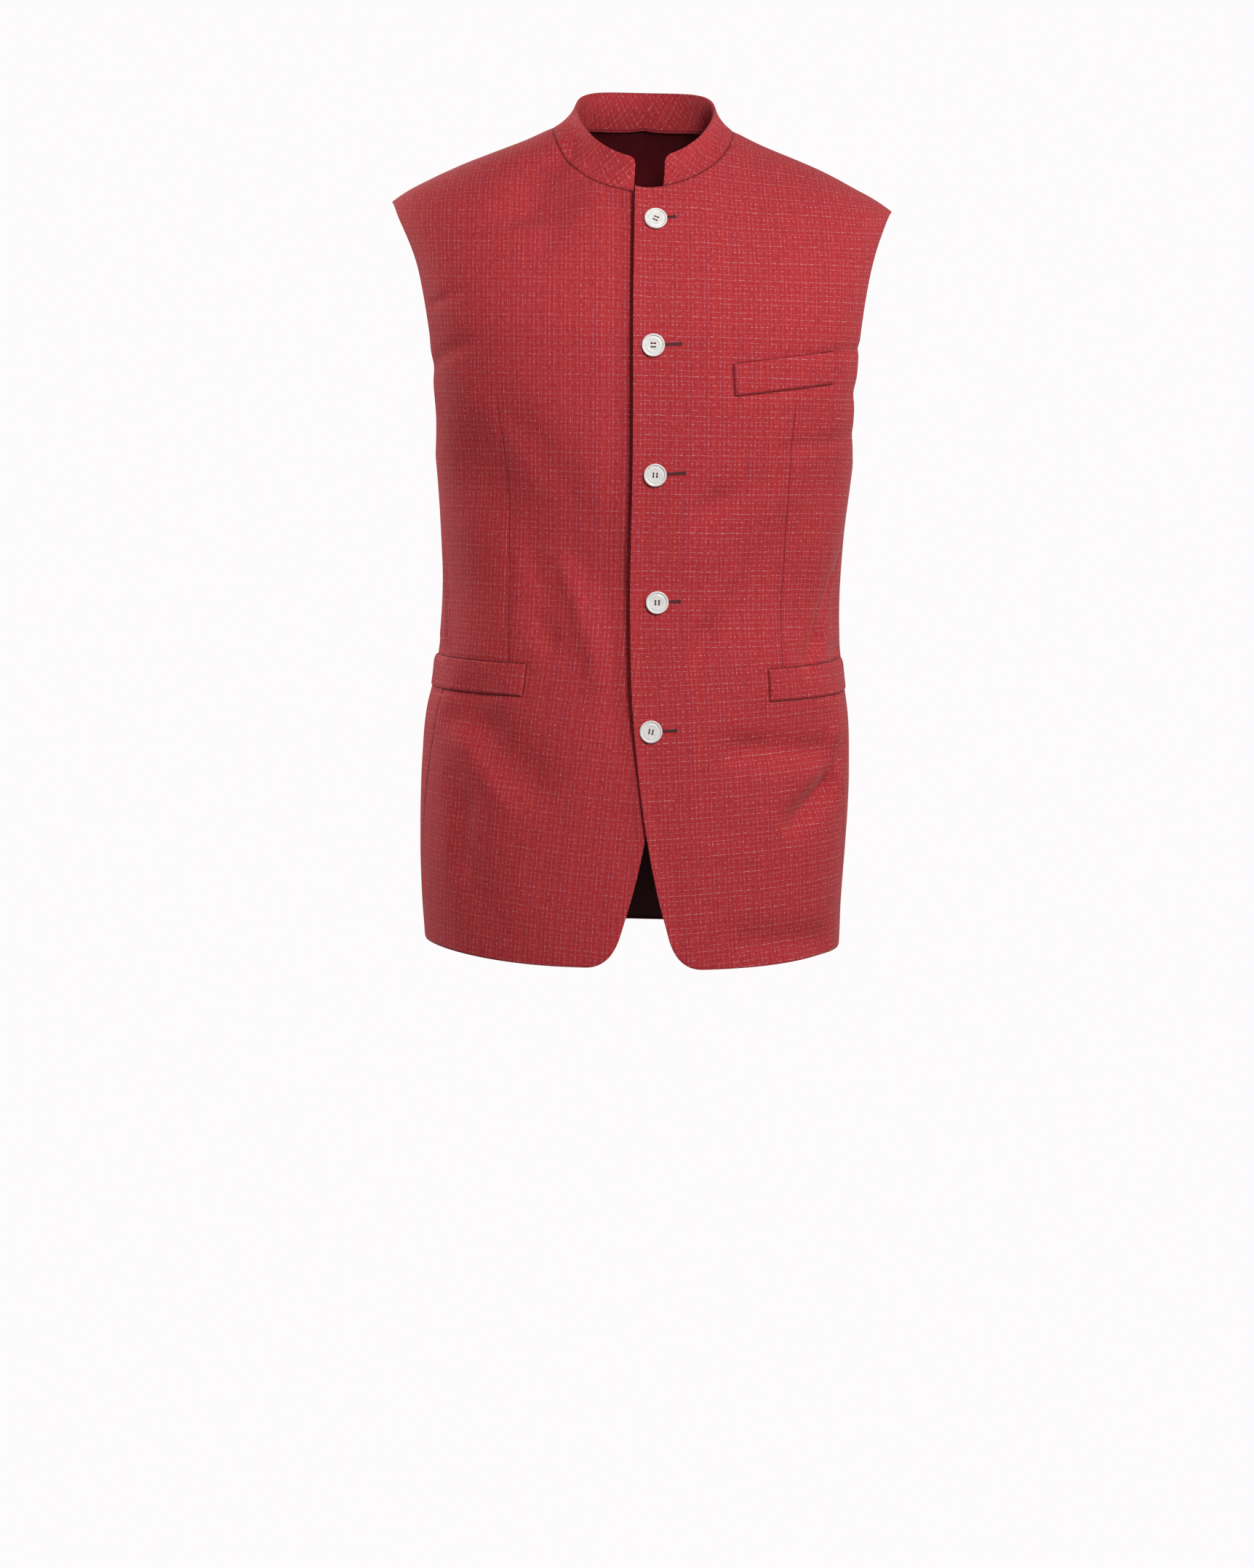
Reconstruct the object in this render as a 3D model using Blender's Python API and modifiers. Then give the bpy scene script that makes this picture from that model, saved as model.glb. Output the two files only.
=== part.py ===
"""A sleeveless Nehru jacket, worn and buttoned, hollow and open at neck, armholes and hem.

Metres, +Z up. The front faces -Y and the wearer's left is +X. The origin lies at the base of the
neck, just above the line between the tops of the shoulder seams, where a worn jacket is held up.
Every piece of cloth is a wall on one worn form, which is lofted through level sections.
A place on the form is a turn (0 at the front, 90 at the wearer's left side, 180 at the back)
and a height, which is the level up to the chest and runs on over the shoulder above it.
"""
import math

import bmesh
import bpy
import numpy as np

# Cloth and seams; the left front lies outside the right one up to this far across
CLOTH_WALL = 0.0016
COLLAR_WALL = 0.0022
WELT_WALL = 0.0014
PIECE_GAP = 0.0003
LAP_GAP = 0.0008
LAP_FULL_TO = 0.040
LAP_FADE = 0.045

# Worn form: one row for each level section, half width at the sides and depth to front and back
SECTION_COLUMNS = ("height", "half", "centre", "front", "back", "square")
SECTIONS = (
    (-0.800, 0.1945, -0.001, 0.122, 0.128, 2.4),
    (-0.765, 0.1950, -0.001, 0.122, 0.128, 2.4),
    (-0.727, 0.1967, -0.002, 0.121, 0.128, 2.4),
    (-0.665, 0.1998, -0.002, 0.119, 0.128, 2.4),
    (-0.590, 0.2000, -0.001, 0.117, 0.124, 2.4),
    (-0.545, 0.1973, 0.000, 0.116, 0.118, 2.4),
    (-0.520, 0.1930, 0.001, 0.115, 0.114, 2.4),
    (-0.480, 0.1873, 0.001, 0.114, 0.107, 2.4),
    (-0.425, 0.1852, 0.001, 0.114, 0.100, 2.4),
    (-0.374, 0.1880, 0.001, 0.118, 0.100, 2.5),
    (-0.300, 0.1945, 0.001, 0.125, 0.110, 2.7),
    (-0.240, 0.2010, 0.000, 0.128, 0.117, 2.9),
    (-0.200, 0.2045, -0.001, 0.128, 0.120, 3.0),
    (-0.110, 0.2140, -0.003, 0.128, 0.120, 3.0),
    (-0.020, 0.2275, -0.006, 0.128, 0.120, 3.0),
    (0.070, 0.2345, -0.006, 0.128, 0.120, 3.0),
)

# Shoulders: the ridge line that the seams follow, and how round the cloth runs up to it
CHEST = -0.200
SHOULDER_RUN = 0.270
SHOULDER_TOP = CHEST + SHOULDER_RUN
RIDGE_COLUMNS = ("across", "z")
RIDGE = (
    (0.000, 0.0200),
    (0.200, 0.0080),
    (0.353, -0.0072),
    (0.460, -0.0190),
    (0.600, -0.0322),
    (0.720, -0.0437),
    (0.830, -0.0563),
    (0.915, -0.0668),
    (1.000, -0.0800),
)
FRONT_ROUND = 1.42
FRONT_ROUND_AT_TIP = 2.0
BACK_ROUND = 2.25
RIDGE_BLEND = 0.040

# Mean radius of the form, which makes lengths along the cloth from turns
FORM_RADIUS = 0.19

# Neckline
NECK_HALF = 0.083
NECK_CENTRE = -0.006
NECK_SIDE_Z = -0.0072
NECK_FRONT_DROP = 0.0590
NECK_BACK_DEPTH = 0.0600
NECK_SQUARE = 1.9
NECK_RADIUS = 0.075

# Front edge of the left front, from the neck down, and the round corner at its foot
CENTRE_FRONT = 0.0100
FRONT_EDGE_COLUMNS = ("z", "x")
FRONT_EDGE = (
    (-0.742, 0.0322),
    (-0.703, 0.0214),
    (-0.641, 0.0088),
    (-0.576, -0.0005),
    (-0.520, -0.0060),
    (-0.460, -0.0085),
    (-0.300, -0.0095),
    (-0.150, -0.0120),
    (-0.050, -0.0122),
)
CORNER_TOP = (0.0322, -0.742)
CORNER_MIDDLE = (0.0410, -0.7702)
CORNER_END = (0.0640, -0.7700)
HEM_FRONT = -0.770
HEM_SIDE = -0.761
HEM_RISE_START = 18.0
HEM_RISE_END = 75.0

# Side seams and armholes, turns in degrees
SIDE_SEAM_COLUMNS = ("height", "turn")
SIDE_SEAM = (
    (-0.780, 81.0),
    (-0.720, 78.5),
    (-0.656, 74.0),
    (-0.600, 68.5),
    (-0.545, 65.0),
    (-0.490, 65.0),
    (-0.430, 72.0),
    (-0.370, 82.0),
    (-0.310, 88.0),
)
UNDERARM = -0.312
ARMHOLE_STRAIGHTENS = 0.100
ARMHOLE_COLUMNS = ("rise", "front", "back")
ARMHOLE = (
    (0.000, 0.0, 0.0),
    (0.012, 9.0, 11.0),
    (0.055, 17.0, 19.0),
    (0.140, 23.0, 25.0),
    (0.290, 26.5, 28.5),
    (0.480, 27.5, 29.0),
    (0.660, 25.5, 27.0),
    (0.820, 21.0, 22.5),
    (0.935, 14.0, 14.5),
    (1.000, 8.0, 8.0),
)

# Folds: soft troughs (depth below 0) and ridges, each from one place to another on the form
FOLD_COLUMNS = ("turn", "height", "to_turn", "to_height", "width", "depth")
FOLDS = (
    (2.0, -0.536, 22.0, -0.455, 0.011, -0.0030),
    (22.0, -0.455, 40.0, -0.360, 0.018, -0.0022),
    (3.0, -0.390, 34.0, -0.315, 0.013, -0.0024),
    (8.0, -0.480, 28.0, -0.400, 0.013, 0.0012),
    (28.0, -0.540, 62.0, -0.545, 0.016, -0.0038),
    (34.0, -0.572, 66.0, -0.556, 0.012, 0.0020),
    (46.0, -0.625, 72.0, -0.568, 0.013, -0.0036),
    (58.0, -0.476, 74.0, -0.405, 0.009, -0.0034),
    (-12.0, -0.385, -36.0, -0.265, 0.020, -0.0030),
    (-8.0, -0.500, -24.0, -0.395, 0.014, 0.0016),
    (-24.0, -0.485, -33.0, -0.440, 0.010, -0.0018),
    (-36.0, -0.560, -60.0, -0.545, 0.016, -0.0028),
    (-40.0, -0.740, -52.0, -0.590, 0.018, -0.0022),
    (-14.0, -0.030, -24.0, -0.125, 0.012, -0.0022),
    (58.0, -0.250, 90.0, -0.225, 0.010, -0.0022),
    (-58.0, -0.235, -90.0, -0.205, 0.010, -0.0020),
    (118.0, -0.395, 160.0, -0.360, 0.018, -0.0030),
    (-122.0, -0.400, -158.0, -0.365, 0.018, -0.0030),
    (112.0, -0.450, 150.0, -0.425, 0.014, -0.0022),
    (-110.0, -0.455, -152.0, -0.430, 0.014, -0.0022),
    (150.0, -0.100, 118.0, -0.230, 0.020, -0.0022),
    (-150.0, -0.105, -116.0, -0.235, 0.020, -0.0022),
)

# A fold runs on past its ends, and fades out there, by these shares of its length
FOLD_RUN_ON = 0.15
FOLD_FADE = 0.35

# The two laps stiffen the cloth here, so folds fade out within this many degrees of the middle
LAP_TURN = 4.8
LAP_STIFF = 7.0

# Collar: a band from the neckline to a smaller, higher ring, open at the front
COLLAR_TOP_HALF = 0.0650
COLLAR_TOP_CENTRE = -0.0045
COLLAR_TOP_FRONT = 0.068
COLLAR_TOP_BACK = 0.050
COLLAR_TOP_Z = 0.0041
COLLAR_TOP_SLOPE = 0.0338
COLLAR_TOP_DIP = 0.0079
COLLAR_FLARE = 1.7
COLLAR_SEAM = 0.0007
COLLAR_CORNER = 0.0055
COLLAR_CORNER_STEPS = (0.0, 0.0010, 0.0028, COLLAR_CORNER)
COLLAR_HEIGHT = 0.028
COLLAR_LEFT_END = 0.0127
COLLAR_RIGHT_END = -0.0142
COLLAR_NARROWS_OVER = 1.0

# Welts: corners for the chest, and for each hip the inner end and the top edge's two heights
CHEST_WELT_COLUMNS = ("x", "z")
CHEST_WELT = (
    (0.0780, -0.2220),
    (0.1700, -0.2085),
    (0.1700, -0.2375),
    (0.0810, -0.2505),
)
HIP_WELT_COLUMNS = ("name", "carrier", "side", "inner_x", "inner_top", "outer_top")
HIP_WELTS = (
    ("welt_left", "front_left", 1, 0.1180, -0.4960, -0.4890),
    ("welt_right", "front_right", -1, -0.1030, -0.4955, -0.4935),
)
WELT_HEIGHT = 0.0295
WELT_END = 84.0
WELT_GAPE = 0.0022
WELT_GAPE_FROM = 0.35
WELT_GAPE_CURL = 1.5

# Buttons: centres on the left front, and half a section from the face's middle round to the back's
BUTTON_COLUMNS = ("x", "z")
BUTTON_PLACES = (
    (0.0065, -0.0954),
    (0.0067, -0.2066),
    (0.0109, -0.3215),
    (0.0152, -0.4363),
    (0.0121, -0.5532),
)
BUTTON_PROFILE_COLUMNS = ("radius", "z")
BUTTON_PROFILE = (
    (0.0000, 0.0020),
    (0.0074, 0.0020),
    (0.0081, 0.0027),
    (0.0090, 0.0030),
    (0.0097, 0.0028),
    (0.0103, 0.0019),
    (0.0098, 0.0006),
    (0.0081, 0.0000),
    (0.0000, 0.0000),
)
BUTTON_STEPS = 24
BUTTON_HOLE = 0.00085
BUTTON_HOLE_SIDES = 8
BUTTON_HOLE_SPACING = 0.0013
BUTTON_HOLE_DEPTH = 0.012
BUTTON_CLEARANCE = 0.0005

# Grids: how many cells, and how the columns crowd to the corner and clear the necklines
NECK_COLUMNS = 11
SHOULDER_COLUMNS = 8
SIDE_ROWS = 21
ARMHOLE_ROWS = 14
BACK_NECK_COLUMNS = 14
COLLAR_ROWS = 4
WELT_ROWS = 3
CHEST_WELT_CELLS = 8
HIP_WELT_CELLS = 12
CORNER_CROWD = 1.2
FRONT_HOLD = 3.5
BACK_HOLD = 9.0

# Finer steps for the paths that the grids are resampled from, and for slopes
PATH_STEPS = 80
CORNER_STEPS = 8
HALVINGS = 45
SMALL_TURN = 0.004
SMALL_RISE = 0.002
NEARLY_ONE = 0.9999


def column(table, columns, name):
    """One named column of a table."""
    index = columns.index(name)
    return np.array([row[index] for row in table])


def smooth_through(keys, values, where):
    """Values of a smooth curve through the given points, for any array of keys."""
    keys = np.asarray(keys, float)
    values = np.asarray(values, float)
    slopes = np.gradient(values, keys)
    where = np.clip(where, keys[0], keys[-1])
    left = np.clip(np.searchsorted(keys, where, side="right") - 1, 0, len(keys) - 2)
    span = keys[left + 1] - keys[left]
    t = (where - keys[left]) / span
    start = (1 + 2 * t) * (1 - t) ** 2 * values[left] + t * (1 - t) ** 2 * span * slopes[left]
    end = t * t * (3 - 2 * t) * values[left + 1] - t * t * (1 - t) * span * slopes[left + 1]
    return start + end


def section(name, height):
    """One column of the section table at any height."""
    heights = column(SECTIONS, SECTION_COLUMNS, "height")
    return smooth_through(heights, column(SECTIONS, SECTION_COLUMNS, name), height)


def smooth_step(t):
    t = np.clip(t, 0.0, 1.0)
    return t * t * (3.0 - 2.0 * t)


def ridge_z(across):
    """Height of the shoulders' ridge, across from 0 at the neck's middle to 1 at the tip."""
    reach = column(RIDGE, RIDGE_COLUMNS, "across")
    return smooth_through(reach, column(RIDGE, RIDGE_COLUMNS, "z"), across)


def form(turn, height):
    """Points of the worn form's outer face."""
    turn, height = np.broadcast_arrays(np.asarray(turn, float), np.asarray(height, float))
    low = np.minimum(height, CHEST)
    over = np.clip((height - CHEST) / SHOULDER_RUN, 0.0, 1.0) * math.pi / 2
    square = section("square", height)
    sine, cosine = np.abs(np.sin(turn)), np.abs(np.cos(turn))
    size = (sine ** square + cosine ** square) ** (-1.0 / square)
    across, forward = size * sine, size * cosine
    at_front = np.cos(turn) >= 0.0
    front_round = FRONT_ROUND + (FRONT_ROUND_AT_TIP - FRONT_ROUND) * across ** 2
    roundness = np.where(at_front, front_round, BACK_ROUND)
    rising, level = np.sin(over), np.maximum(np.cos(over), 0.0)
    size = (rising ** roundness + level ** roundness) ** (-1.0 / roundness)
    depth = np.where(at_front, section("front", low), section("back", low))
    ridge = ridge_z(across)
    x = section("centre", height) + section("half", height) * across * np.sign(np.sin(turn))
    y = depth * forward * size * level * np.where(at_front, -1.0, 1.0)
    z = low + size * rising * (ridge - CHEST)
    return np.stack([x, y, z], axis=-1)


def outward(turn, height):
    """The form's outward direction, which turns to the ridge's own at the shoulder seams."""
    turn, height = np.broadcast_arrays(np.asarray(turn, float), np.asarray(height, float))
    upper = np.minimum(height + SMALL_RISE, SHOULDER_TOP)
    around = form(turn + SMALL_TURN, height) - form(turn - SMALL_TURN, height)
    rise = form(turn, upper) - form(turn, upper - 2 * SMALL_RISE)
    direction = np.cross(around, rise)
    direction /= np.linalg.norm(direction, axis=-1, keepdims=True)
    tip = section("half", SHOULDER_TOP)
    across = np.abs(form(turn, SHOULDER_TOP)[..., 0] - NECK_CENTRE) / tip
    slope = (ridge_z(across - SMALL_TURN) - ridge_z(across + SMALL_TURN)) / (2 * SMALL_TURN * tip)
    ridge = np.stack([slope * np.sign(np.sin(turn)), 0.0 * slope, 1.0 + 0.0 * slope], axis=-1)
    ridge /= np.linalg.norm(ridge, axis=-1, keepdims=True)
    blend = smooth_step((height - SHOULDER_TOP) / RIDGE_BLEND + 1.0)[..., None]
    direction = direction * (1.0 - blend) + ridge * blend
    return direction / np.linalg.norm(direction, axis=-1, keepdims=True)


def folds(turn, height):
    """Height of the folds above the form, in metres along its outward direction."""
    around = np.degrees(turn)
    around = (around + 180.0) % 360.0 - 180.0
    total = np.zeros(np.broadcast(turn, height).shape)
    for row in FOLDS:
        fold = dict(zip(FOLD_COLUMNS, row))
        sweep = math.radians(fold["to_turn"] - fold["turn"]) * FORM_RADIUS
        line = np.array([sweep, fold["to_height"] - fold["height"]])
        length = math.hypot(*line)
        line = line / length
        shift = (around - fold["turn"] + 180.0) % 360.0 - 180.0
        place = np.stack([np.radians(shift) * FORM_RADIUS, height - fold["height"]], axis=-1)
        along = place @ line / length
        beside = place[..., 0] * line[1] - place[..., 1] * line[0]
        start = smooth_step((along + FOLD_RUN_ON) / FOLD_FADE)
        end = smooth_step((1.0 + FOLD_RUN_ON - along) / FOLD_FADE)
        total += fold["depth"] * start * end * np.exp(-(beside / fold["width"]) ** 2)
    return total * smooth_step((np.abs(around - LAP_TURN) - LAP_STIFF) / LAP_STIFF)


def cloth(turn, height, lift=0.0):
    """Points at a given distance outside the folded cloth."""
    raised = np.asarray(folds(turn, height) + lift)[..., None]
    return form(turn, height) + outward(turn, height) * raised


def turn_at(x, height, at_back=False):
    """The turn at which the section at a height reaches the given x."""
    square = section("square", height)
    across = (x - section("centre", height)) / section("half", height)
    across = np.clip(across, -NEARLY_ONE, NEARLY_ONE)
    rest = (1.0 - np.abs(across) ** square) ** (1.0 / square)
    return np.arctan2(across, -rest if at_back else rest)


def place_at(x, z=None, y=None):
    """Turn and height of the front's point at x and z, or of the back's point at x and y."""
    x, wanted = np.broadcast_arrays(np.asarray(x, float), np.asarray(y if z is None else z, float))
    low = np.full(x.shape, CHEST if z is None else SECTIONS[0][0])
    high = np.full(x.shape, SHOULDER_TOP)
    for _ in range(HALVINGS):
        height = (low + high) / 2
        point = form(turn_at(x, height, at_back=z is None), height)
        above = point[..., 1] < wanted if z is None else point[..., 2] > wanted
        high = np.where(above, height, high)
        low = np.where(above, low, height)
    height = (low + high) / 2
    return turn_at(x, height, at_back=z is None), height


def evenly(path, count, crowd=1.0):
    """A path of turns and heights, resampled along the cloth; a crowd over 1 is closer at its start."""
    path = np.asarray(path, float)
    steps = np.hypot(np.diff(path[:, 0]) * FORM_RADIUS, np.diff(path[:, 1]))
    reach = np.concatenate([[0.0], np.cumsum(steps)])
    wanted = reach[-1] * np.linspace(0.0, 1.0, count) ** crowd
    return np.stack([np.interp(wanted, reach, path[:, k]) for k in (0, 1)], axis=1)


def across_front(x, side):
    """The left front's x, or the same place on the right front, mirrored about its middle."""
    return x if side > 0 else 2 * CENTRE_FRONT - x


def corner_curve(first, last):
    """Points x and z of the left front's round corner, between two shares of its curve."""
    t = np.linspace(first, last, CORNER_STEPS + 1)[:, None]
    top, middle, end = (np.array(point) for point in (CORNER_TOP, CORNER_MIDDLE, CORNER_END))
    return ((1 - t) ** 2 * top + 2 * t * (1 - t) * middle + t * t * end).T


def front_edge_path(side):
    """From the middle of the round corner up the front edge to the neckline."""
    corner_x, corner_z = corner_curve(0.5, 0.0)
    heights = column(FRONT_EDGE, FRONT_EDGE_COLUMNS, "z")
    places = column(FRONT_EDGE, FRONT_EDGE_COLUMNS, "x")
    z = np.linspace(CORNER_TOP[1], neck_front_z(places[-1]), PATH_STEPS)[1:]
    x = np.concatenate([corner_x, smooth_through(heights, places, z)])
    z = np.concatenate([corner_z, z])
    x = across_front(x, side)
    z[-1] = neck_front_z(x[-1])
    return np.stack(place_at(x, z), axis=1)


def neck_front_z(x):
    """Height of the neckline's seam on the front at a given x."""
    across = abs(x - NECK_CENTRE) / NECK_HALF
    return NECK_SIDE_Z - NECK_FRONT_DROP * (1.0 - across ** NECK_SQUARE) ** (1.0 / NECK_SQUARE)


def neckline(angle):
    """The neck seam's turn and height; the angle is 0 at the front and 180 degrees at the back."""
    angle = np.asarray(angle, float)
    sine, cosine = np.abs(np.sin(angle)), np.abs(np.cos(angle))
    size = (sine ** NECK_SQUARE + cosine ** NECK_SQUARE) ** (-1.0 / NECK_SQUARE)
    x = NECK_CENTRE + NECK_HALF * size * sine * np.sign(np.sin(angle))
    front = place_at(x, NECK_SIDE_Z - NECK_FRONT_DROP * size * cosine)
    back = place_at(x, y=NECK_BACK_DEPTH * size * cosine)
    at_front = np.cos(angle) >= 0.0
    on_ridge = np.abs(np.cos(angle)) < 2.0 - 2.0 * NEARLY_ONE
    turn = np.where(at_front, front[0], back[0])
    height = np.where(at_front, front[1], back[1])
    return turn, np.where(on_ridge, SHOULDER_TOP, height)


def neck_angle(x):
    """The neckline's angle at a given x on the front."""
    across = (x - NECK_CENTRE) / NECK_HALF
    rest = (1.0 - abs(across) ** NECK_SQUARE) ** (1.0 / NECK_SQUARE)
    return math.atan2(across, rest)


def front_neck_angles(side):
    """The neckline's angles at a front panel's columns, from its edge to the shoulder seam."""
    edge = across_front(FRONT_EDGE[-1][1], side)
    seam = side * math.pi / 2 * NEARLY_ONE
    return np.linspace(neck_angle(edge), seam, NECK_COLUMNS + 1)


def back_neck_angles():
    """The neckline's angles at the back panel's columns, from the left seam to the right one."""
    seam = math.pi / 2 * (2.0 - NEARLY_ONE)
    return np.linspace(seam, 2 * math.pi - seam, BACK_NECK_COLUMNS + 1)


def hem_height(turn):
    """The hem, a little lower at the front than at the sides."""
    degrees = np.degrees(np.abs(turn))
    rise = smooth_step((degrees - HEM_RISE_START) / (HEM_RISE_END - HEM_RISE_START))
    return HEM_FRONT + (HEM_SIDE - HEM_FRONT) * rise


def seam_turn(height):
    """The side seam's turn at any height."""
    heights = column(SIDE_SEAM, SIDE_SEAM_COLUMNS, "height")
    return np.radians(smooth_through(heights, column(SIDE_SEAM, SIDE_SEAM_COLUMNS, "turn"), height))


def side_path(side, face):
    """Up the side seam from the hem, then round the armhole to the shoulder tip."""
    foot = hem_height(np.radians(SIDE_SEAM[0][1]))
    heights = np.linspace(foot, UNDERARM, PATH_STEPS)
    seam = evenly(np.stack([seam_turn(heights), heights], axis=1), SIDE_ROWS + 1)
    rows = np.arange(len(ARMHOLE))
    fine = np.linspace(0, rows[-1], PATH_STEPS)
    rise = smooth_through(rows, column(ARMHOLE, ARMHOLE_COLUMNS, "rise"), fine)
    away = np.radians(smooth_through(rows, column(ARMHOLE, ARMHOLE_COLUMNS, face), fine))
    heights = UNDERARM + (SHOULDER_TOP - UNDERARM) * rise
    start = seam_turn(UNDERARM)
    straighten = smooth_step((heights - UNDERARM) / ARMHOLE_STRAIGHTENS)
    middle = start + (math.pi / 2 - start) * straighten
    turns = middle - away if face == "front" else middle + away
    hole = evenly(np.stack([turns, heights], axis=1), ARMHOLE_ROWS + 1)
    path = np.concatenate([seam, hole[1:]])
    path[:, 0] *= side
    return path


def fill(bottom, top, left, right, hold):
    """Grid of places between four edge paths that share their corners.

    The side edges' bends fade into the grid, and sooner near the top, by the hold, so that the
    armholes' curves don't push the columns across the neckline.
    """
    p = np.linspace(0, 1, len(bottom))[None, :, None]
    q = np.linspace(0, 1, len(left))[:, None, None]
    fade = 1 + hold * q ** 4
    left_bend = left[:, None] - (1 - q) * left[0] - q * left[-1]
    right_bend = right[:, None] - (1 - q) * right[0] - q * right[-1]
    return (1 - q) * bottom + q * top + (1 - p) ** fade * left_bend + p ** fade * right_bend


def front_grid(side):
    """Places of one front panel: rows from hem to top, columns from the front edge to the side."""
    rows = SIDE_ROWS + ARMHOLE_ROWS + 1
    edge = evenly(front_edge_path(side), rows, CORNER_CROWD)
    outer = side_path(side, "front")
    corner_x, corner_z = corner_curve(0.5, 1.0)
    start = np.stack(place_at(across_front(corner_x, side), corner_z), axis=1)
    turns = np.linspace(start[-1, 0], outer[0, 0], PATH_STEPS)[1:]
    hem = np.concatenate([start, np.stack([turns, hem_height(turns)], axis=1)])
    hem = evenly(hem, NECK_COLUMNS + SHOULDER_COLUMNS + 1, CORNER_CROWD)
    neck = np.stack(neckline(front_neck_angles(side)), axis=1)
    turns = np.linspace(neck[-1, 0], outer[-1, 0], SHOULDER_COLUMNS + 1)[1:]
    shoulder = np.stack([turns, np.full(turns.shape, SHOULDER_TOP)], axis=1)
    neck[-1, 1] = SHOULDER_TOP
    top = np.concatenate([neck, shoulder])
    edge[0], edge[-1], hem[-1] = hem[0], top[0], outer[0]
    return fill(hem, top, edge, outer, FRONT_HOLD)


def back_grid():
    """Places of the back panel: rows from hem to top, columns from the left side to the right."""
    left, right = side_path(1, "back"), side_path(-1, "back")
    right[:, 0] += 2 * math.pi
    columns = 2 * SHOULDER_COLUMNS + BACK_NECK_COLUMNS
    turns = np.linspace(left[0, 0], right[0, 0], columns + 1)
    hem = np.stack([turns, hem_height(np.where(turns > math.pi, 2 * math.pi - turns, turns))], axis=1)
    neck = np.stack(neckline(back_neck_angles()), axis=1)
    neck[:, 0] %= 2 * math.pi
    neck[[0, -1], 1] = SHOULDER_TOP
    near = np.linspace(left[-1, 0], neck[0, 0], SHOULDER_COLUMNS + 1)[:-1]
    far = np.linspace(neck[-1, 0], right[-1, 0], SHOULDER_COLUMNS + 1)[1:]
    near = np.stack([near, np.full(near.shape, SHOULDER_TOP)], axis=1)
    far = np.stack([far, np.full(far.shape, SHOULDER_TOP)], axis=1)
    return fill(hem, np.concatenate([near, neck, far]), left, right, BACK_HOLD)


def lap_lift(turn, height):
    """How far the left front lies outside the form, where it laps over the right one."""
    x = form(turn, height)[..., 0]
    return (CLOTH_WALL + LAP_GAP) * (1.0 - smooth_step((x - LAP_FULL_TO) / LAP_FADE))


def panel_lift(name, turn, height):
    """How far a panel's outer face lies outside the folded cloth."""
    return lap_lift(turn, height) if name == "front_left" else 0.0


def material(name, colour, roughness):
    """A plain finish for one piece."""
    result = bpy.data.materials.new(name)
    result.use_nodes = True
    shader = result.node_tree.nodes["Principled BSDF"]
    shader.inputs["Base Color"].default_value = (*colour, 1.0)
    shader.inputs["Roughness"].default_value = roughness
    shader.inputs["Metallic"].default_value = 0.0
    return result


def add_object(name, mesh, finish, collection):
    mesh.materials.clear()
    mesh.materials.append(finish)
    result = bpy.data.objects.new(name, mesh)
    collection.objects.link(result)
    return result


def wall(name, outer, inner, finish, collection):
    """A closed wall between two equal grids of points."""
    rows, columns = outer.shape[0] - 1, outer.shape[1] - 1
    bm = bmesh.new()
    bmesh.ops.create_grid(bm, x_segments=columns, y_segments=rows, size=1.0)
    place = bm.verts.layers.int.new("place")
    for vert in bm.verts:
        column = round((vert.co.x + 1) / 2 * columns)
        row = round((vert.co.y + 1) / 2 * rows)
        vert[place] = row * (columns + 1) + column
        vert.co = outer[row, column]
    bmesh.ops.triangulate(bm, faces=bm.faces[:])
    copy = bmesh.ops.extrude_face_region(bm, geom=bm.faces[:], use_keep_orig=True)
    for vert in (item for item in copy["geom"] if isinstance(item, bmesh.types.BMVert)):
        row, column = divmod(vert[place], columns + 1)
        vert.co = inner[row, column]
    bmesh.ops.recalc_face_normals(bm, faces=bm.faces[:])
    mesh = bpy.data.meshes.new(name)
    bm.to_mesh(mesh)
    bm.free()
    mesh.shade_smooth()
    mesh.set_sharp_from_angle(angle=math.radians(40))
    return add_object(name, mesh, finish, collection)


def panel(name, grid, finish, collection):
    """One panel of cloth, moved half a seam gap away from its neighbour."""
    turn, height = grid[..., 0], grid[..., 1]
    lift = panel_lift(name, turn, height)
    shift = np.array([0.0, PIECE_GAP / 2 if name == "back" else -PIECE_GAP / 2, 0.0])
    outer = cloth(turn, height, lift) + shift
    inner = cloth(turn, height, lift - CLOTH_WALL) + shift
    return wall(name, outer, inner, finish, collection)


def collar_point(angle, up):
    """Outer face of the collar's band, up from 0 at the seam to 1 at the top edge."""
    turn, height = neckline(angle)
    lap = np.where((np.sin(angle) > 0) & (np.cos(angle) > 0), lap_lift(turn, height), 0.0)
    base = cloth(turn, height, lap)
    angle = (angle + math.pi) % (2 * math.pi) - math.pi
    end = max(neck_angle(COLLAR_LEFT_END), -neck_angle(COLLAR_RIGHT_END))
    near_end = 1.0 - smooth_step((np.abs(angle) - end) / COLLAR_NARROWS_OVER)
    narrow = 1.0 + (NECK_HALF / COLLAR_TOP_HALF - 1.0) * near_end
    top_angle = np.where(np.cos(angle) > 0, angle * narrow, angle)
    depth = np.where(np.cos(top_angle) > 0, COLLAR_TOP_FRONT, COLLAR_TOP_BACK)
    rise = COLLAR_TOP_Z - COLLAR_TOP_SLOPE * np.cos(top_angle) - COLLAR_TOP_DIP * np.cos(2 * top_angle)
    x = COLLAR_TOP_CENTRE + COLLAR_TOP_HALF * np.sin(top_angle)
    top = np.stack([x, -depth * np.cos(top_angle), rise], axis=-1)
    flat = 1.0 - (1.0 - up) ** COLLAR_FLARE
    share = np.stack([flat, flat, up + 0.0 * flat], axis=-1)
    start = COLLAR_SEAM / COLLAR_HEIGHT
    share = start + (1.0 - start) * share
    return base + (top - base) * share


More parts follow.
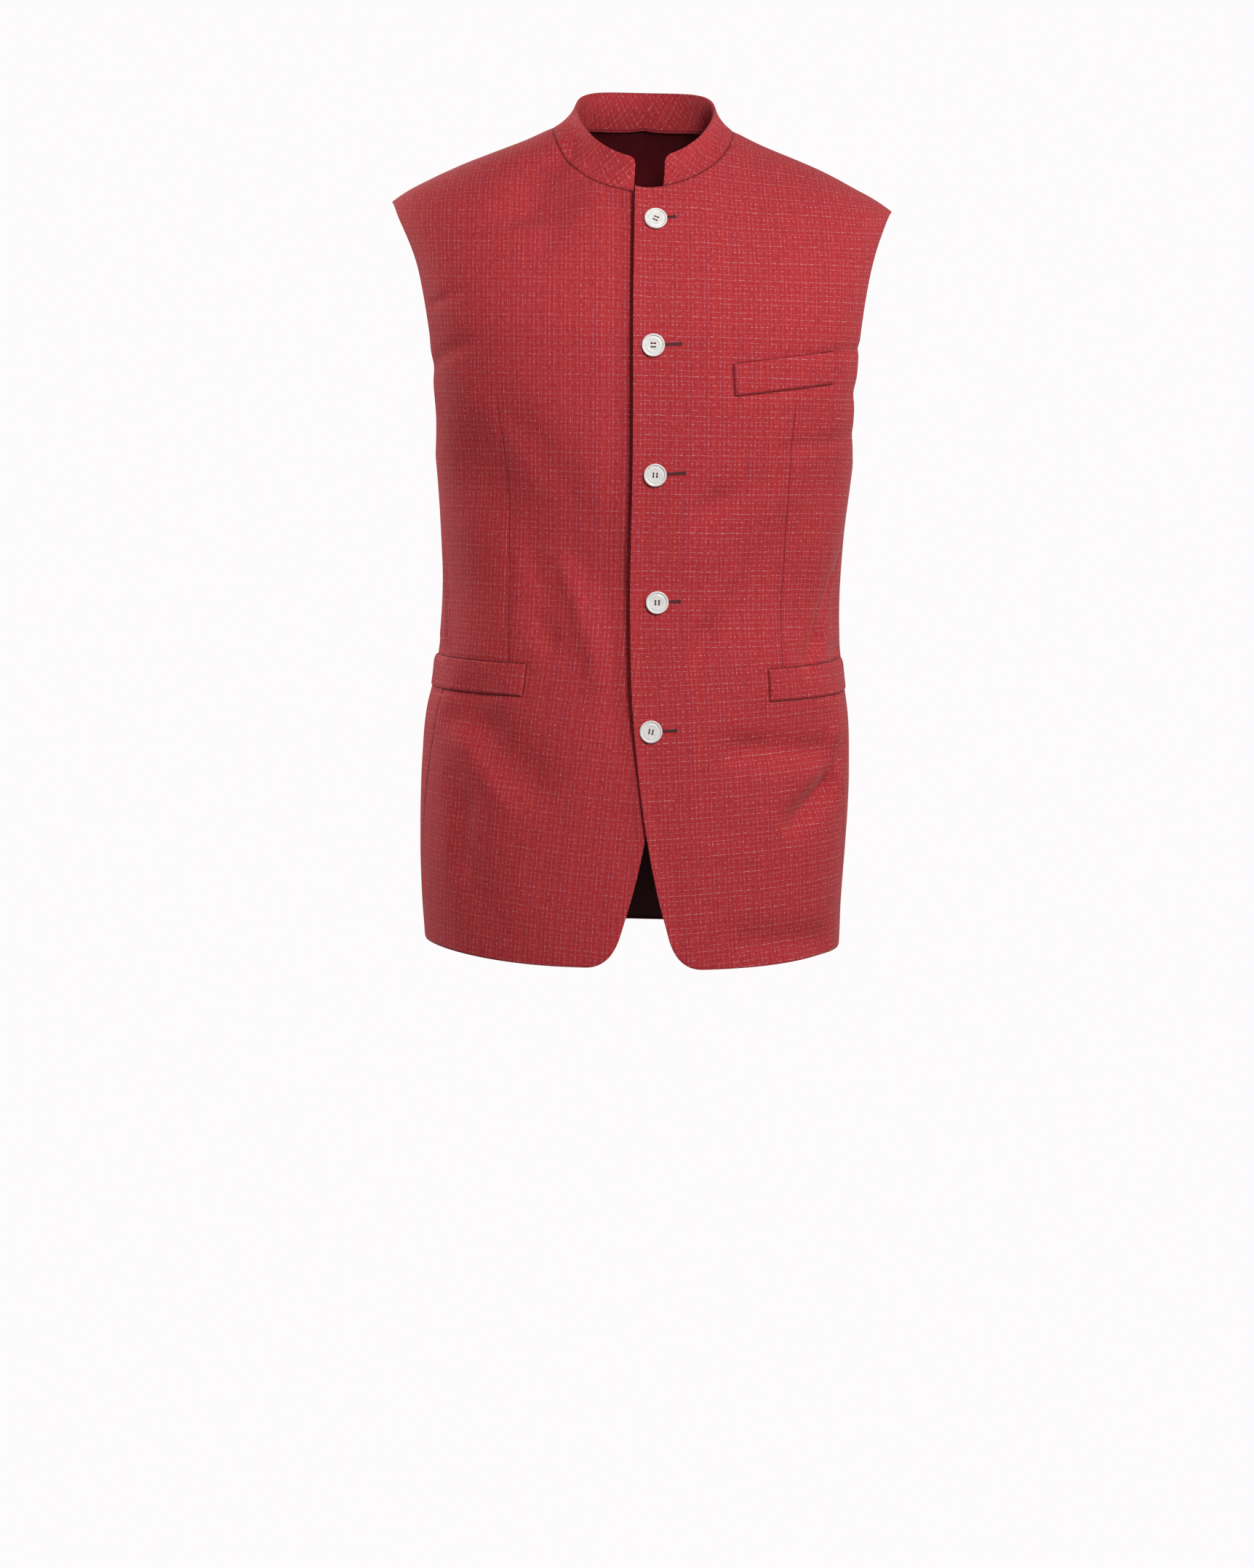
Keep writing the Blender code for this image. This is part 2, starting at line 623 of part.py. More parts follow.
def collar(finish, collection):
    """The stand-up band, from its left end round the back of the neck to its right end."""
    first, last = neck_angle(COLLAR_LEFT_END), 2 * math.pi + neck_angle(COLLAR_RIGHT_END)
    ends = np.array(COLLAR_CORNER_STEPS) / NECK_RADIUS
    left = front_neck_angles(1)
    right = front_neck_angles(-1)[::-1] + 2 * math.pi
    left = left[left > first + 2 * ends[-1]]
    right = right[right < last - 2 * ends[-1]]
    angles = np.concatenate([first + ends, left, back_neck_angles()[1:-1], right, last - ends[::-1]])
    reach = np.minimum(angles - first, last - angles) * NECK_RADIUS
    cut = np.clip(1.0 - reach / COLLAR_CORNER, 0.0, 1.0)
    tall = 1.0 - COLLAR_CORNER / COLLAR_HEIGHT * (1.0 - np.sqrt(1.0 - cut ** 2))
    up = np.linspace(0.0, 1.0, COLLAR_ROWS + 1)[:, None] * tall[None, :]
    angle = np.broadcast_to(angles, up.shape)
    outer = collar_point(angle, up)
    step, share = 2 * SMALL_TURN, SMALL_RISE / COLLAR_HEIGHT
    around = collar_point(angle + step, up) - collar_point(angle - step, up)
    upper = np.minimum(up + share, 1.0)
    rise = collar_point(angle, upper) - collar_point(angle, upper - 2 * share)
    normal = np.cross(around, rise)
    normal /= np.linalg.norm(normal, axis=-1, keepdims=True)
    return wall("collar", outer, outer - normal * COLLAR_WALL, finish, collection)


def welt(name, carrier, turn, height, gape, finish, collection):
    """A flat band of cloth that lies on its panel, its top edge free to stand off."""
    lift = panel_lift(carrier, turn, height) + PIECE_GAP + gape
    shift = np.array([0.0, -PIECE_GAP / 2, 0.0])
    outer = cloth(turn, height, lift + WELT_WALL) + shift
    inner = cloth(turn, height, lift) + shift
    return wall(name, outer, inner, finish, collection)


def chest_welt(finish, collection):
    """A four-cornered band that rises towards the armhole."""
    p = np.linspace(0, 1, CHEST_WELT_CELLS + 1)[None, :]
    q = np.linspace(0, 1, WELT_ROWS + 1)[:, None]
    x, z = (column(CHEST_WELT, CHEST_WELT_COLUMNS, name) for name in CHEST_WELT_COLUMNS)
    corners = ((x[0], x[1], x[2], x[3]), (z[0], z[1], z[2], z[3]))
    places = [
        (1 - q) * ((1 - p) * inner_foot + p * outer_foot) + q * ((1 - p) * inner_top + p * outer_top)
        for inner_top, outer_top, outer_foot, inner_foot in corners
    ]
    turn, height = place_at(*places)
    return welt("chest_welt", "front_left", turn, height, 0.0, finish, collection)


def hip_welt(row, finish, collection):
    """From its inner end across the side seam, gaping a little towards the side."""
    size = dict(zip(HIP_WELT_COLUMNS, row))
    first = place_at(size["inner_x"], size["inner_top"])[0]
    last = size["side"] * math.radians(WELT_END)
    p = np.linspace(0, 1, HIP_WELT_CELLS + 1)[None, :]
    q = np.linspace(0, 1, WELT_ROWS + 1)[:, None]
    turn = first + (last - first) * p + 0.0 * q
    top = size["inner_top"] + (size["outer_top"] - size["inner_top"]) * p
    height = top - WELT_HEIGHT * (1 - q)
    spread = smooth_step((p - WELT_GAPE_FROM) / (1.0 - WELT_GAPE_FROM))
    gape = WELT_GAPE * spread * q ** WELT_GAPE_CURL
    return welt(size["name"], size["carrier"], turn, height, gape, finish, collection)


def button_blank():
    """A turned button with a dished face inside its rim, its back on z = 0."""
    mesh = bpy.data.meshes.new("button_profile")
    edges = [(k, k + 1) for k in range(len(BUTTON_PROFILE) - 1)]
    mesh.from_pydata([(radius, 0.0, z) for radius, z in BUTTON_PROFILE], edges, [])
    blank = bpy.data.objects.new("button_blank", mesh)
    turned = blank.modifiers.new("turned", "SCREW")
    turned.steps = BUTTON_STEPS
    turned.render_steps = BUTTON_STEPS
    turned.use_merge_vertices = True
    turned.merge_threshold = 0.00001
    return blank


def button_mesh(helpers):
    """The turned blank with its four thread holes."""
    blank = button_blank()
    helpers.objects.link(blank)
    bm = bmesh.new()
    for x in (-1, 1):
        for y in (-1, 1):
            post = bmesh.ops.create_cone(
                bm, cap_ends=True, segments=BUTTON_HOLE_SIDES, radius1=BUTTON_HOLE,
                radius2=BUTTON_HOLE, depth=BUTTON_HOLE_DEPTH)
            offset = (x * BUTTON_HOLE_SPACING, y * BUTTON_HOLE_SPACING, 0.0)
            bmesh.ops.translate(bm, verts=post["verts"], vec=offset)
    posts = bpy.data.meshes.new("button_posts")
    bm.to_mesh(posts)
    bm.free()
    cutter = bpy.data.objects.new("button_posts", posts)
    helpers.objects.link(cutter)
    holes = blank.modifiers.new("holes", "BOOLEAN")
    holes.operation = "DIFFERENCE"
    holes.object = cutter
    for item in (blank, cutter):
        item.hide_render = True
        item.display_type = "WIRE"
    evaluated = blank.evaluated_get(bpy.context.evaluated_depsgraph_get())
    return bpy.data.meshes.new_from_object(evaluated)


def buttons(finish, collection, helpers):
    """Five buttons on the left front, level with their buttonholes."""
    blank = button_mesh(helpers)
    for number, (x, z) in enumerate(BUTTON_PLACES, start=1):
        turn, height = place_at(x, z)
        facing = outward(turn, height)
        lift = lap_lift(turn, height) + BUTTON_CLEARANCE
        seat = cloth(turn, height, lift) + np.array([0.0, -PIECE_GAP / 2, 0.0])
        mesh = blank.copy()
        mesh.shade_smooth()
        mesh.set_sharp_from_angle(angle=math.radians(30))
        button = add_object(f"button_{number}", mesh, finish, collection)
        button.location = seat
        button.rotation_euler = (math.acos(facing[2]), 0.0, math.atan2(facing[0], -facing[1]))


def build():
    """The whole jacket, in a scene with nothing else in it."""
    for item in list(bpy.data.objects):
        bpy.data.objects.remove(item)
    jacket = bpy.data.collections.new("nehru_jacket")
    helpers = bpy.data.collections.new("helpers")
    for collection in (jacket, helpers):
        bpy.context.scene.collection.children.link(collection)
    red = material("red_checked_cloth", (0.42, 0.035, 0.05), 0.8)
    white = material("white_button", (0.82, 0.81, 0.78), 0.3)
    panel("front_left", front_grid(1), red, jacket)
    panel("front_right", front_grid(-1), red, jacket)
    panel("back", back_grid(), red, jacket)
    collar(red, jacket)
    chest_welt(red, jacket)
    for row in HIP_WELTS:
        hip_welt(row, red, jacket)
    buttons(white, jacket, helpers)


build()
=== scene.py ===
"""Looks of a sleeveless Nehru jacket: red checked cloth, white buttons and the creases of wear.

Metres, +Z up. The front faces -Y and the wearer's left is +X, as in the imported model.
Each piece of cloth is a fine shell on the worn form that its solid was built on, so the form's
tables and functions stand here again. A place on the form is a turn (0 at the front, 90 at the
wearer's left side, 180 at the back) and a height, which runs on over the shoulder above the chest.
"""
import math

import bmesh
import bpy
import numpy as np
from mathutils import Euler, Matrix, Vector, kdtree, noise


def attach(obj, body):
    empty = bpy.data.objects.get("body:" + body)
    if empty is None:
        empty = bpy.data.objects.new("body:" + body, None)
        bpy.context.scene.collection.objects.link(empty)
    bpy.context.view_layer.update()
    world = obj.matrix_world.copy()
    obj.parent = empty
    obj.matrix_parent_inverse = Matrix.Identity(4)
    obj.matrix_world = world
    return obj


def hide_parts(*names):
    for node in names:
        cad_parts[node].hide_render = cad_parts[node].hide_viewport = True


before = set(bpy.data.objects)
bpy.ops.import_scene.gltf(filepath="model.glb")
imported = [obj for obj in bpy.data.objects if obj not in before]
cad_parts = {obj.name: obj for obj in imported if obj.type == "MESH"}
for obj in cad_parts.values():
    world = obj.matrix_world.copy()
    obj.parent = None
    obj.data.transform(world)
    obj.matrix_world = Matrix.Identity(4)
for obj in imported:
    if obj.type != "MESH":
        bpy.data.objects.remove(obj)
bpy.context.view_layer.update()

MM = 0.001

# Cloth, collar and welts; the left front lies outside the right one up to this far across
CLOTH_WALL = 0.0016
CLOTH_SHELL = 0.0014
COLLAR_SHELL = 0.0022
WELT_SHELL = 0.0010
LAP_GAP = 0.0008
LAP_FULL_TO = 0.040
LAP_FADE = 0.045

# Worn form: one row for each level section, half width at the sides and depth to front and back
SECTION_COLUMNS = ("height", "half", "centre", "front", "back", "square")
SECTIONS = (
    (-0.800, 0.1945, -0.001, 0.122, 0.128, 2.4),
    (-0.765, 0.1950, -0.001, 0.122, 0.128, 2.4),
    (-0.727, 0.1967, -0.002, 0.121, 0.128, 2.4),
    (-0.665, 0.1998, -0.002, 0.119, 0.128, 2.4),
    (-0.590, 0.2000, -0.001, 0.117, 0.124, 2.4),
    (-0.545, 0.1973, 0.000, 0.116, 0.118, 2.4),
    (-0.520, 0.1930, 0.001, 0.115, 0.114, 2.4),
    (-0.480, 0.1873, 0.001, 0.114, 0.107, 2.4),
    (-0.425, 0.1852, 0.001, 0.114, 0.100, 2.4),
    (-0.374, 0.1880, 0.001, 0.118, 0.100, 2.5),
    (-0.300, 0.1945, 0.001, 0.125, 0.110, 2.7),
    (-0.240, 0.2010, 0.000, 0.128, 0.117, 2.9),
    (-0.200, 0.2045, -0.001, 0.128, 0.120, 3.0),
    (-0.110, 0.2140, -0.003, 0.128, 0.120, 3.0),
    (-0.020, 0.2275, -0.006, 0.128, 0.120, 3.0),
    (0.070, 0.2345, -0.006, 0.128, 0.120, 3.0),
)

# Shoulders: the ridge line that the seams follow, and how round the cloth runs up to it
CHEST = -0.200
SHOULDER_RUN = 0.270
SHOULDER_TOP = CHEST + SHOULDER_RUN
RIDGE_COLUMNS = ("across", "z")
RIDGE = (
    (0.000, 0.0200),
    (0.200, 0.0080),
    (0.353, -0.0072),
    (0.460, -0.0190),
    (0.600, -0.0322),
    (0.720, -0.0437),
    (0.830, -0.0563),
    (0.915, -0.0668),
    (1.000, -0.0800),
)
FRONT_ROUND = 1.42
FRONT_ROUND_AT_TIP = 2.0
BACK_ROUND = 2.25
RIDGE_BLEND = 0.040

# Mean radius of the form, which makes lengths along the cloth from turns
FORM_RADIUS = 0.19

# Neckline
NECK_HALF = 0.083
NECK_CENTRE = -0.006
NECK_SIDE_Z = -0.0072
NECK_FRONT_DROP = 0.0590
NECK_BACK_DEPTH = 0.0600
NECK_SQUARE = 1.9
NECK_RADIUS = 0.075

# Front edge of the left front, from the neck down, and the round corner at its foot
CENTRE_FRONT = 0.0100
FRONT_EDGE_COLUMNS = ("z", "x")
FRONT_EDGE = (
    (-0.742, 0.0322),
    (-0.703, 0.0214),
    (-0.641, 0.0088),
    (-0.576, -0.0005),
    (-0.520, -0.0060),
    (-0.460, -0.0085),
    (-0.300, -0.0095),
    (-0.150, -0.0120),
    (-0.050, -0.0122),
)
CORNER_TOP = (0.0322, -0.742)
CORNER_MIDDLE = (0.0410, -0.7702)
CORNER_END = (0.0640, -0.7700)
HEM_FRONT = -0.770
HEM_SIDE = -0.761
HEM_RISE_START = 18.0
HEM_RISE_END = 75.0

# Side seams and armholes, turns in degrees
SIDE_SEAM_COLUMNS = ("height", "turn")
SIDE_SEAM = (
    (-0.780, 81.0),
    (-0.720, 78.5),
    (-0.656, 74.0),
    (-0.600, 68.5),
    (-0.545, 65.0),
    (-0.490, 65.0),
    (-0.430, 72.0),
    (-0.370, 82.0),
    (-0.310, 88.0),
)
UNDERARM = -0.312
ARMHOLE_STRAIGHTENS = 0.100
ARMHOLE_COLUMNS = ("rise", "front", "back")
ARMHOLE = (
    (0.000, 0.0, 0.0),
    (0.012, 9.0, 11.0),
    (0.055, 17.0, 19.0),
    (0.140, 23.0, 25.0),
    (0.290, 27.0, 28.5),
    (0.480, 26.0, 27.5),
    (0.660, 23.0, 24.5),
    (0.820, 20.0, 21.0),
    (0.935, 18.6, 18.8),
    (1.000, 19.5, 19.5),
)

# Folds of the solids: soft troughs (depth below 0) and ridges, from one place to another
FOLD_COLUMNS = ("turn", "height", "to_turn", "to_height", "width", "depth")
FOLDS = (
    (2.0, -0.536, 22.0, -0.455, 0.011, -0.0030),
    (22.0, -0.455, 40.0, -0.360, 0.018, -0.0022),
    (3.0, -0.390, 34.0, -0.315, 0.013, -0.0024),
    (8.0, -0.480, 28.0, -0.400, 0.013, 0.0012),
    (28.0, -0.540, 62.0, -0.545, 0.016, -0.0038),
    (34.0, -0.572, 66.0, -0.556, 0.012, 0.0020),
    (46.0, -0.625, 72.0, -0.568, 0.013, -0.0036),
    (58.0, -0.476, 74.0, -0.405, 0.009, -0.0034),
    (-12.0, -0.385, -36.0, -0.265, 0.020, -0.0030),
    (-8.0, -0.500, -24.0, -0.395, 0.014, 0.0016),
    (-24.0, -0.485, -33.0, -0.440, 0.010, -0.0018),
    (-36.0, -0.560, -60.0, -0.545, 0.016, -0.0028),
    (-40.0, -0.740, -52.0, -0.590, 0.018, -0.0022),
    (-14.0, -0.030, -24.0, -0.125, 0.012, -0.0022),
    (58.0, -0.250, 90.0, -0.225, 0.010, -0.0022),
    (-58.0, -0.235, -90.0, -0.205, 0.010, -0.0020),
    (118.0, -0.395, 160.0, -0.360, 0.018, -0.0030),
    (-122.0, -0.400, -158.0, -0.365, 0.018, -0.0030),
    (112.0, -0.450, 150.0, -0.425, 0.014, -0.0022),
    (-110.0, -0.455, -152.0, -0.430, 0.014, -0.0022),
    (150.0, -0.100, 118.0, -0.230, 0.020, -0.0022),
    (-150.0, -0.105, -116.0, -0.235, 0.020, -0.0022),
)

# Finer creases, which only show here, in the same columns
CREASES = (
    (-53.0, -0.2995, -9.0, -0.4400, 0.0420, -0.0072),
    (-52.0, -0.2240, -11.0, -0.3930, 0.0150, 0.0010),
    (-32.0, -0.3880, -24.0, -0.4850, 0.0110, -0.0016),
    (-22.0, -0.4040, -9.0, -0.5250, 0.0110, 0.0030),
    (-52.0, -0.5150, -22.0, -0.6200, 0.0230, -0.0056),
    (-52.0, -0.5600, -33.0, -0.6280, 0.0100, 0.0022),
    (-46.5, -0.6180, -49.5, -0.6950, 0.0120, -0.0024),
    (-18.0, 0.0080, -27.0, -0.0850, 0.0240, -0.0085),
    (-13.0, -0.0300, -5.5, -0.0750, 0.0060, -0.0040),
    (58.0, -0.3000, 29.0, -0.4700, 0.0360, -0.0045),
    (40.0, -0.4580, 84.0, -0.4420, 0.0500, -0.0070),
    (46.0, -0.2000, 15.6, -0.4120, 0.0120, 0.0014),
    (19.5, -0.4500, 4.5, -0.5350, 0.0110, -0.0048),
    (22.0, -0.3350, 2.0, -0.3910, 0.0110, -0.0034),
    (20.0, -0.3900, 3.0, -0.4550, 0.0100, 0.0012),
    (24.0, -0.5690, 60.0, -0.5690, 0.0150, -0.0110),
    (63.0, -0.6000, 42.0, -0.6400, 0.0130, -0.0100),
    (5.0, -0.6550, 37.0, -0.6700, 0.0100, 0.0010),
    (26.0, -0.7440, 64.0, -0.7490, 0.0160, -0.0048),
    (36.0, -0.2135, 66.0, -0.2035, 0.0042, -0.0018),
    (34.0, -0.2960, 70.0, -0.2830, 0.0080, -0.0018),
    (49.0, -0.4920, 62.0, -0.4640, 0.0100, -0.0044),
    (67.0, -0.4840, 90.0, -0.4820, 0.0070, -0.0040),
    (-66.0, -0.4905, -90.0, -0.4880, 0.0070, -0.0040),
    (53.0, -0.4950, 63.0, -0.4260, 0.0045, -0.0020),
    (-75.0, -0.3850, -63.0, -0.4930, 0.0030, 0.0012),
    (-77.5, -0.3850, -65.5, -0.4930, 0.0040, -0.0016),
    (-58.0, -0.1660, -43.0, -0.1540, 0.0065, -0.0016),
    (-62.0, -0.2270, -42.0, -0.2060, 0.0070, -0.0018),
    (-16.0, -0.6300, -26.0, -0.7000, 0.0110, -0.0010),
    (96.0, -0.4300, 120.0, -0.4080, 0.0060, -0.0020),
    (-98.0, -0.4360, -124.0, -0.4120, 0.0060, -0.0022),
    (170.0, -0.4050, 196.0, -0.4250, 0.0090, -0.0018),
    (146.0, -0.3300, 112.0, -0.4600, 0.0300, -0.0036),
    (-149.0, -0.3350, -116.0, -0.4700, 0.0320, -0.0040),
    (140.0, -0.5300, 118.0, -0.6100, 0.0140, -0.0022),
    (-138.0, -0.5350, -116.0, -0.6200, 0.0140, -0.0026),
    (130.0, -0.1500, 112.0, -0.1900, 0.0070, -0.0018),
    (-131.0, -0.1560, -112.0, -0.1980, 0.0070, -0.0016),
)
FOLD_RUN_ON = 0.15
FOLD_FADE = 0.35
LAP_TURN = 4.8
LAP_STIFF = 7.0

# The right front is creased up to the lap, which starts here
LAP_START = -0.0165
LAP_SOFT = 0.008

# Unevenness of hand-pressed cloth: swells of each spacing and how high they stand, less on the collar
UNEVEN = ((0.055, 0.00055), (0.020, 0.00012))
COLLAR_UNEVEN = 0.5

# Turned edges: how far the cloth drops at an edge, within what reach, and where its cells crowd
EDGE_DROP = 0.0008
EDGE_REACH = 0.0030
EDGE_STEPS = (0.0, 0.0007, 0.0015, 0.0026, 0.0042)
EDGE_ROUND = 0.00045
RIM_ANGLE = math.radians(50)
RIM_STEPS = 2
EDGE_SAMPLES = 5
FREE_EDGE_LIFT = 0.0034
FREE_EDGE_FADE = 0.014

# The right front dips beside the lap: where, how wide and how deep
LAP_HOLLOW_X = -0.0130
LAP_HOLLOW_WIDTH = 0.0180
LAP_HOLLOW = 0.0055
LAP_HOLLOW_FOOT = -0.600
LAP_HOLLOW_FADE = 0.080

# Darts: the seam line down each front, turn at each height
DART_COLUMNS = ("height", "left", "right")
DARTS = (
    (-0.4940, 41.0, -36.7),
    (-0.4610, 41.6, -37.9),
    (-0.4140, 42.0, -38.0),
    (-0.3730, 40.8, -37.9),
    (-0.3250, 39.3, -37.3),
    (-0.2690, 38.1, -37.4),
)
DART_WIDTH = 0.0032
DART_DEPTH = 0.0006
DART_FADE = 0.020

# Collar: a band from the neckline to a smaller, higher ring, open at the front
COLLAR_TOP_HALF = 0.0650
COLLAR_TOP_CENTRE = -0.0045
COLLAR_TOP_FRONT = 0.068
COLLAR_TOP_BACK = 0.050
COLLAR_TOP_Z = 0.0041
COLLAR_TOP_SLOPE = 0.0338
COLLAR_TOP_DIP = 0.0079
COLLAR_FLARE = 1.7
COLLAR_TUCK = 0.0012
COLLAR_CORNER = 0.0055
COLLAR_HEIGHT = 0.028
COLLAR_LEFT_END = 0.0127
COLLAR_RIGHT_END = -0.0142
COLLAR_NARROWS_OVER = 1.0
COLLAR_ROUND = 0.0007
COLLAR_GRAIN = math.radians(45.0)

# Welts: corners for the chest, and for each hip the inner end and the top edge's two heights
CHEST_WELT_COLUMNS = ("x", "z")
CHEST_WELT = (
    (0.0780, -0.2220),
    (0.1700, -0.2085),
    (0.1700, -0.2375),
    (0.0810, -0.2505),
)
HIP_WELT_COLUMNS = ("name", "side", "inner_x", "inner_top", "outer_top")
HIP_WELTS = (
    ("welt_left", 1, 0.1180, -0.4960, -0.4890),
    ("welt_right", -1, -0.1030, -0.4955, -0.4935),
)
WELT_HEIGHT = 0.0295
WELT_END = 84.0
WELT_GAPE = 0.0022
WELT_GAPE_FROM = 0.35
WELT_GAPE_CURL = 1.5
WELT_STAND = 0.0014
WELT_SEWN = -0.0008
WELT_EDGE_REACH = 0.0024
WELT_SINK = 0.0012
WELT_SINK_REACH = 0.0045
WELT_TOP_FADE = 0.003
WELT_TOP_ROLL = 0.0004

# Buttons: centres on the left front, the way their threads run and where their buttonholes end
BUTTON_COLUMNS = ("x", "z", "threads", "hole_x", "hole_z")
BUTTON_PLACES = (
    (0.0065, -0.0954, -25.0, 0.0242, -0.0922),
    (0.0067, -0.2066, 0.0, 0.0319, -0.2049),
    (0.0109, -0.3215, 87.0, 0.0378, -0.3193),
    (0.0152, -0.4363, 90.0, 0.0358, -0.4350),
    (0.0121, -0.5532, 80.0, 0.0352, -0.5518),
)
# Half a button's section from the middle of its face, round the rim, to the middle of its back
BUTTON_SECTION = (
    (0.0000, 0.00195),
    (0.0045, 0.00200),
    (0.0070, 0.00215),
    (0.0076, 0.00195),
    (0.0079, 0.00185),
    (0.0083, 0.00215),
    (0.0088, 0.00280),
    (0.0094, 0.00300),
    (0.0100, 0.00275),
    (0.0103, 0.00200),
    (0.0101, 0.00080),
    (0.0094, 0.00015),
    (0.0080, 0.00000),
    (0.0000, 0.00000),
)
BUTTON_SECTION_STEPS = 56
BUTTON_STEPS = 80
BUTTON_HOLE = 0.00088
BUTTON_HOLE_SIDES = 20
BUTTON_HOLE_SPACING = 0.0016
BUTTON_HOLE_DEPTH = 0.012
BUTTON_CLEARANCE = 0.0005
BUTTON_MERGE = 0.00001
BUTTON_SHARP = math.radians(35)
THREAD_LENGTH = 0.0054
THREAD_WIDTH = 0.0016
THREAD_HEIGHT = 0.0024
THREAD_SUNK = 0.28

# Buttonholes: a slit from under the button, edged with close stitches, round at its far end; the slit is
# a near-black sheet of painted shadow
SLIT_START = 0.0060
SLIT_HALF = 0.0006
SLIT_EYE = 0.0012
SLIT_EYE_REACH = 0.0024
SLIT_LIFT = 0.00020
SLIT_THICK = 0.0001
SLIT_STEPS = 14
SLIT_ROWS = 4
SLIT_EYE_STEPS = 12
SLIT_EYE_CROWD = 1.5
STITCH_PITCH = 0.00046
STITCH_LENGTH = 0.0012
STITCH_WIDTH = 0.00078
STITCH_THICK = 0.00060
STITCH_OUT = 0.4
STITCH_SUNK = 0.35
EYE_STITCHES = 13
EYE_TURN = 100.0
BEAD_SIDES = 8
BEAD_RINGS = 6

# Prick stitches along the sewn edges of the welts
PRICK_PITCH = 0.0029
PRICK_LENGTH = 0.0010
PRICK_WIDTH = 0.00045
PRICK_INSET = 0.0010
PRICK_SINK = 0.0005

# Cells of the fine grids
NECK_CELLS = 54
SHOULDER_CELLS = 44
SIDE_CELLS = 160
ARMHOLE_CELLS = 112
BACK_NECK_CELLS = 74
FRONT_NECK_PART = 11 / 19
BACK_NECK_START = 8 / 30
SIDE_PART = 0.54
FRONT_HOLD = 3.5
BACK_HOLD = 9.0
COLLAR_CELLS = 250
COLLAR_ROWS = 20
WELT_ROWS = 14
CHEST_WELT_CELLS = 50
HIP_WELT_CELLS = 60

# Rough lengths of the pieces' edges, which place the close cells
NECK_RUN = 0.110
SHOULDER_SEAM_RUN = 0.150
SIDE_RUN = 0.450
ARMHOLE_RUN = 0.300
CHEST_WELT_RUN = 0.092
HIP_WELT_RUN = 0.110

# Millimetres that stand for nowhere near a seam
FAR = 99.0

# Finer steps for paths, tables and slopes
PATH_STEPS = 160
CORNER_STEPS = 16
HALVINGS = 45
SMALL_TURN = 0.004
SMALL_RISE = 0.002
NEARLY_ONE = 0.9999
SLIVER = 0.0005
MAP_ROWS = 220
MAP_COLUMNS = 900

# Grain: below the waist the fronts swing outwards as they go down
SWING_FROM = -0.430
SWING_OVER = 0.120
SWING = 0.070

# Check: one repeat across and along the cloth, in millimetres, and how far from a line's middle,
# in shares of its width, it is at full strength and has faded out
WARP_REPEAT = 14.2
WEFT_REPEAT = 17.5
LINE_CORE = 0.3
LINE_REACH = 0.75

# Streaks a metre, across and along the cloth. The yarn's are 0.7 mm wide and 11 mm long, drawn
# coarser than real yarn so that they show, the wide stripes 8 mm and the lining's satin threads 0.6 mm
WARP_STREAKS = (1500.0, 90.0, 1.0)
WEFT_STREAKS = (90.0, 1400.0, 1.0)
STRIPES = (130.0, 2.0, 1.0)
SATIN_STREAKS = (1800.0, 40.0, 1.0)

# The check's lines wander by this much, and its yarns come and go over a few millimetres
SWAY = 0.0018
SWAY_COUNT = 75.0
FADE_COUNT = 380.0

# Millimetres from a dart's line and from a welt's edge or the collar's seam over which the shade painted
# into their creases fades, and how dark it is painted
DART_SHADE = (0.15, 0.75)
WELT_SHADE = (0.3, 1.3)
PAINTED_CREASE_SHADE = 0.75


def column(table, columns, name):
    """One named column of a table."""
    index = columns.index(name)
    return np.array([row[index] for row in table])


def smooth_through(keys, values, where):
    """Values of a smooth curve through the given points, for any array of keys."""
    keys = np.asarray(keys, float)
    values = np.asarray(values, float)
    slopes = np.gradient(values, keys)
    where = np.clip(where, keys[0], keys[-1])
    left = np.clip(np.searchsorted(keys, where, side="right") - 1, 0, len(keys) - 2)
    span = keys[left + 1] - keys[left]
    t = (where - keys[left]) / span
    start = (1 + 2 * t) * (1 - t) ** 2 * values[left] + t * (1 - t) ** 2 * span * slopes[left]
    end = t * t * (3 - 2 * t) * values[left + 1] - t * t * (1 - t) * span * slopes[left + 1]
    return start + end


def section(name, height):
    """One column of the section table at any height."""
    heights = column(SECTIONS, SECTION_COLUMNS, "height")
    return smooth_through(heights, column(SECTIONS, SECTION_COLUMNS, name), height)


def half_turns(angle):
    """The same angle between half a turn back and half a turn on."""
    return (angle + math.pi) % (2 * math.pi) - math.pi


def smooth_step(t):
    """0 below 0 and 1 above 1, with a soft rise between them."""
    t = np.clip(t, 0.0, 1.0)
    return t * t * (3.0 - 2.0 * t)


def ridge_z(across):
    """Height of the shoulders' ridge, across from 0 at the neck's middle to 1 at the tip."""
    reach = column(RIDGE, RIDGE_COLUMNS, "across")
    return smooth_through(reach, column(RIDGE, RIDGE_COLUMNS, "z"), across)


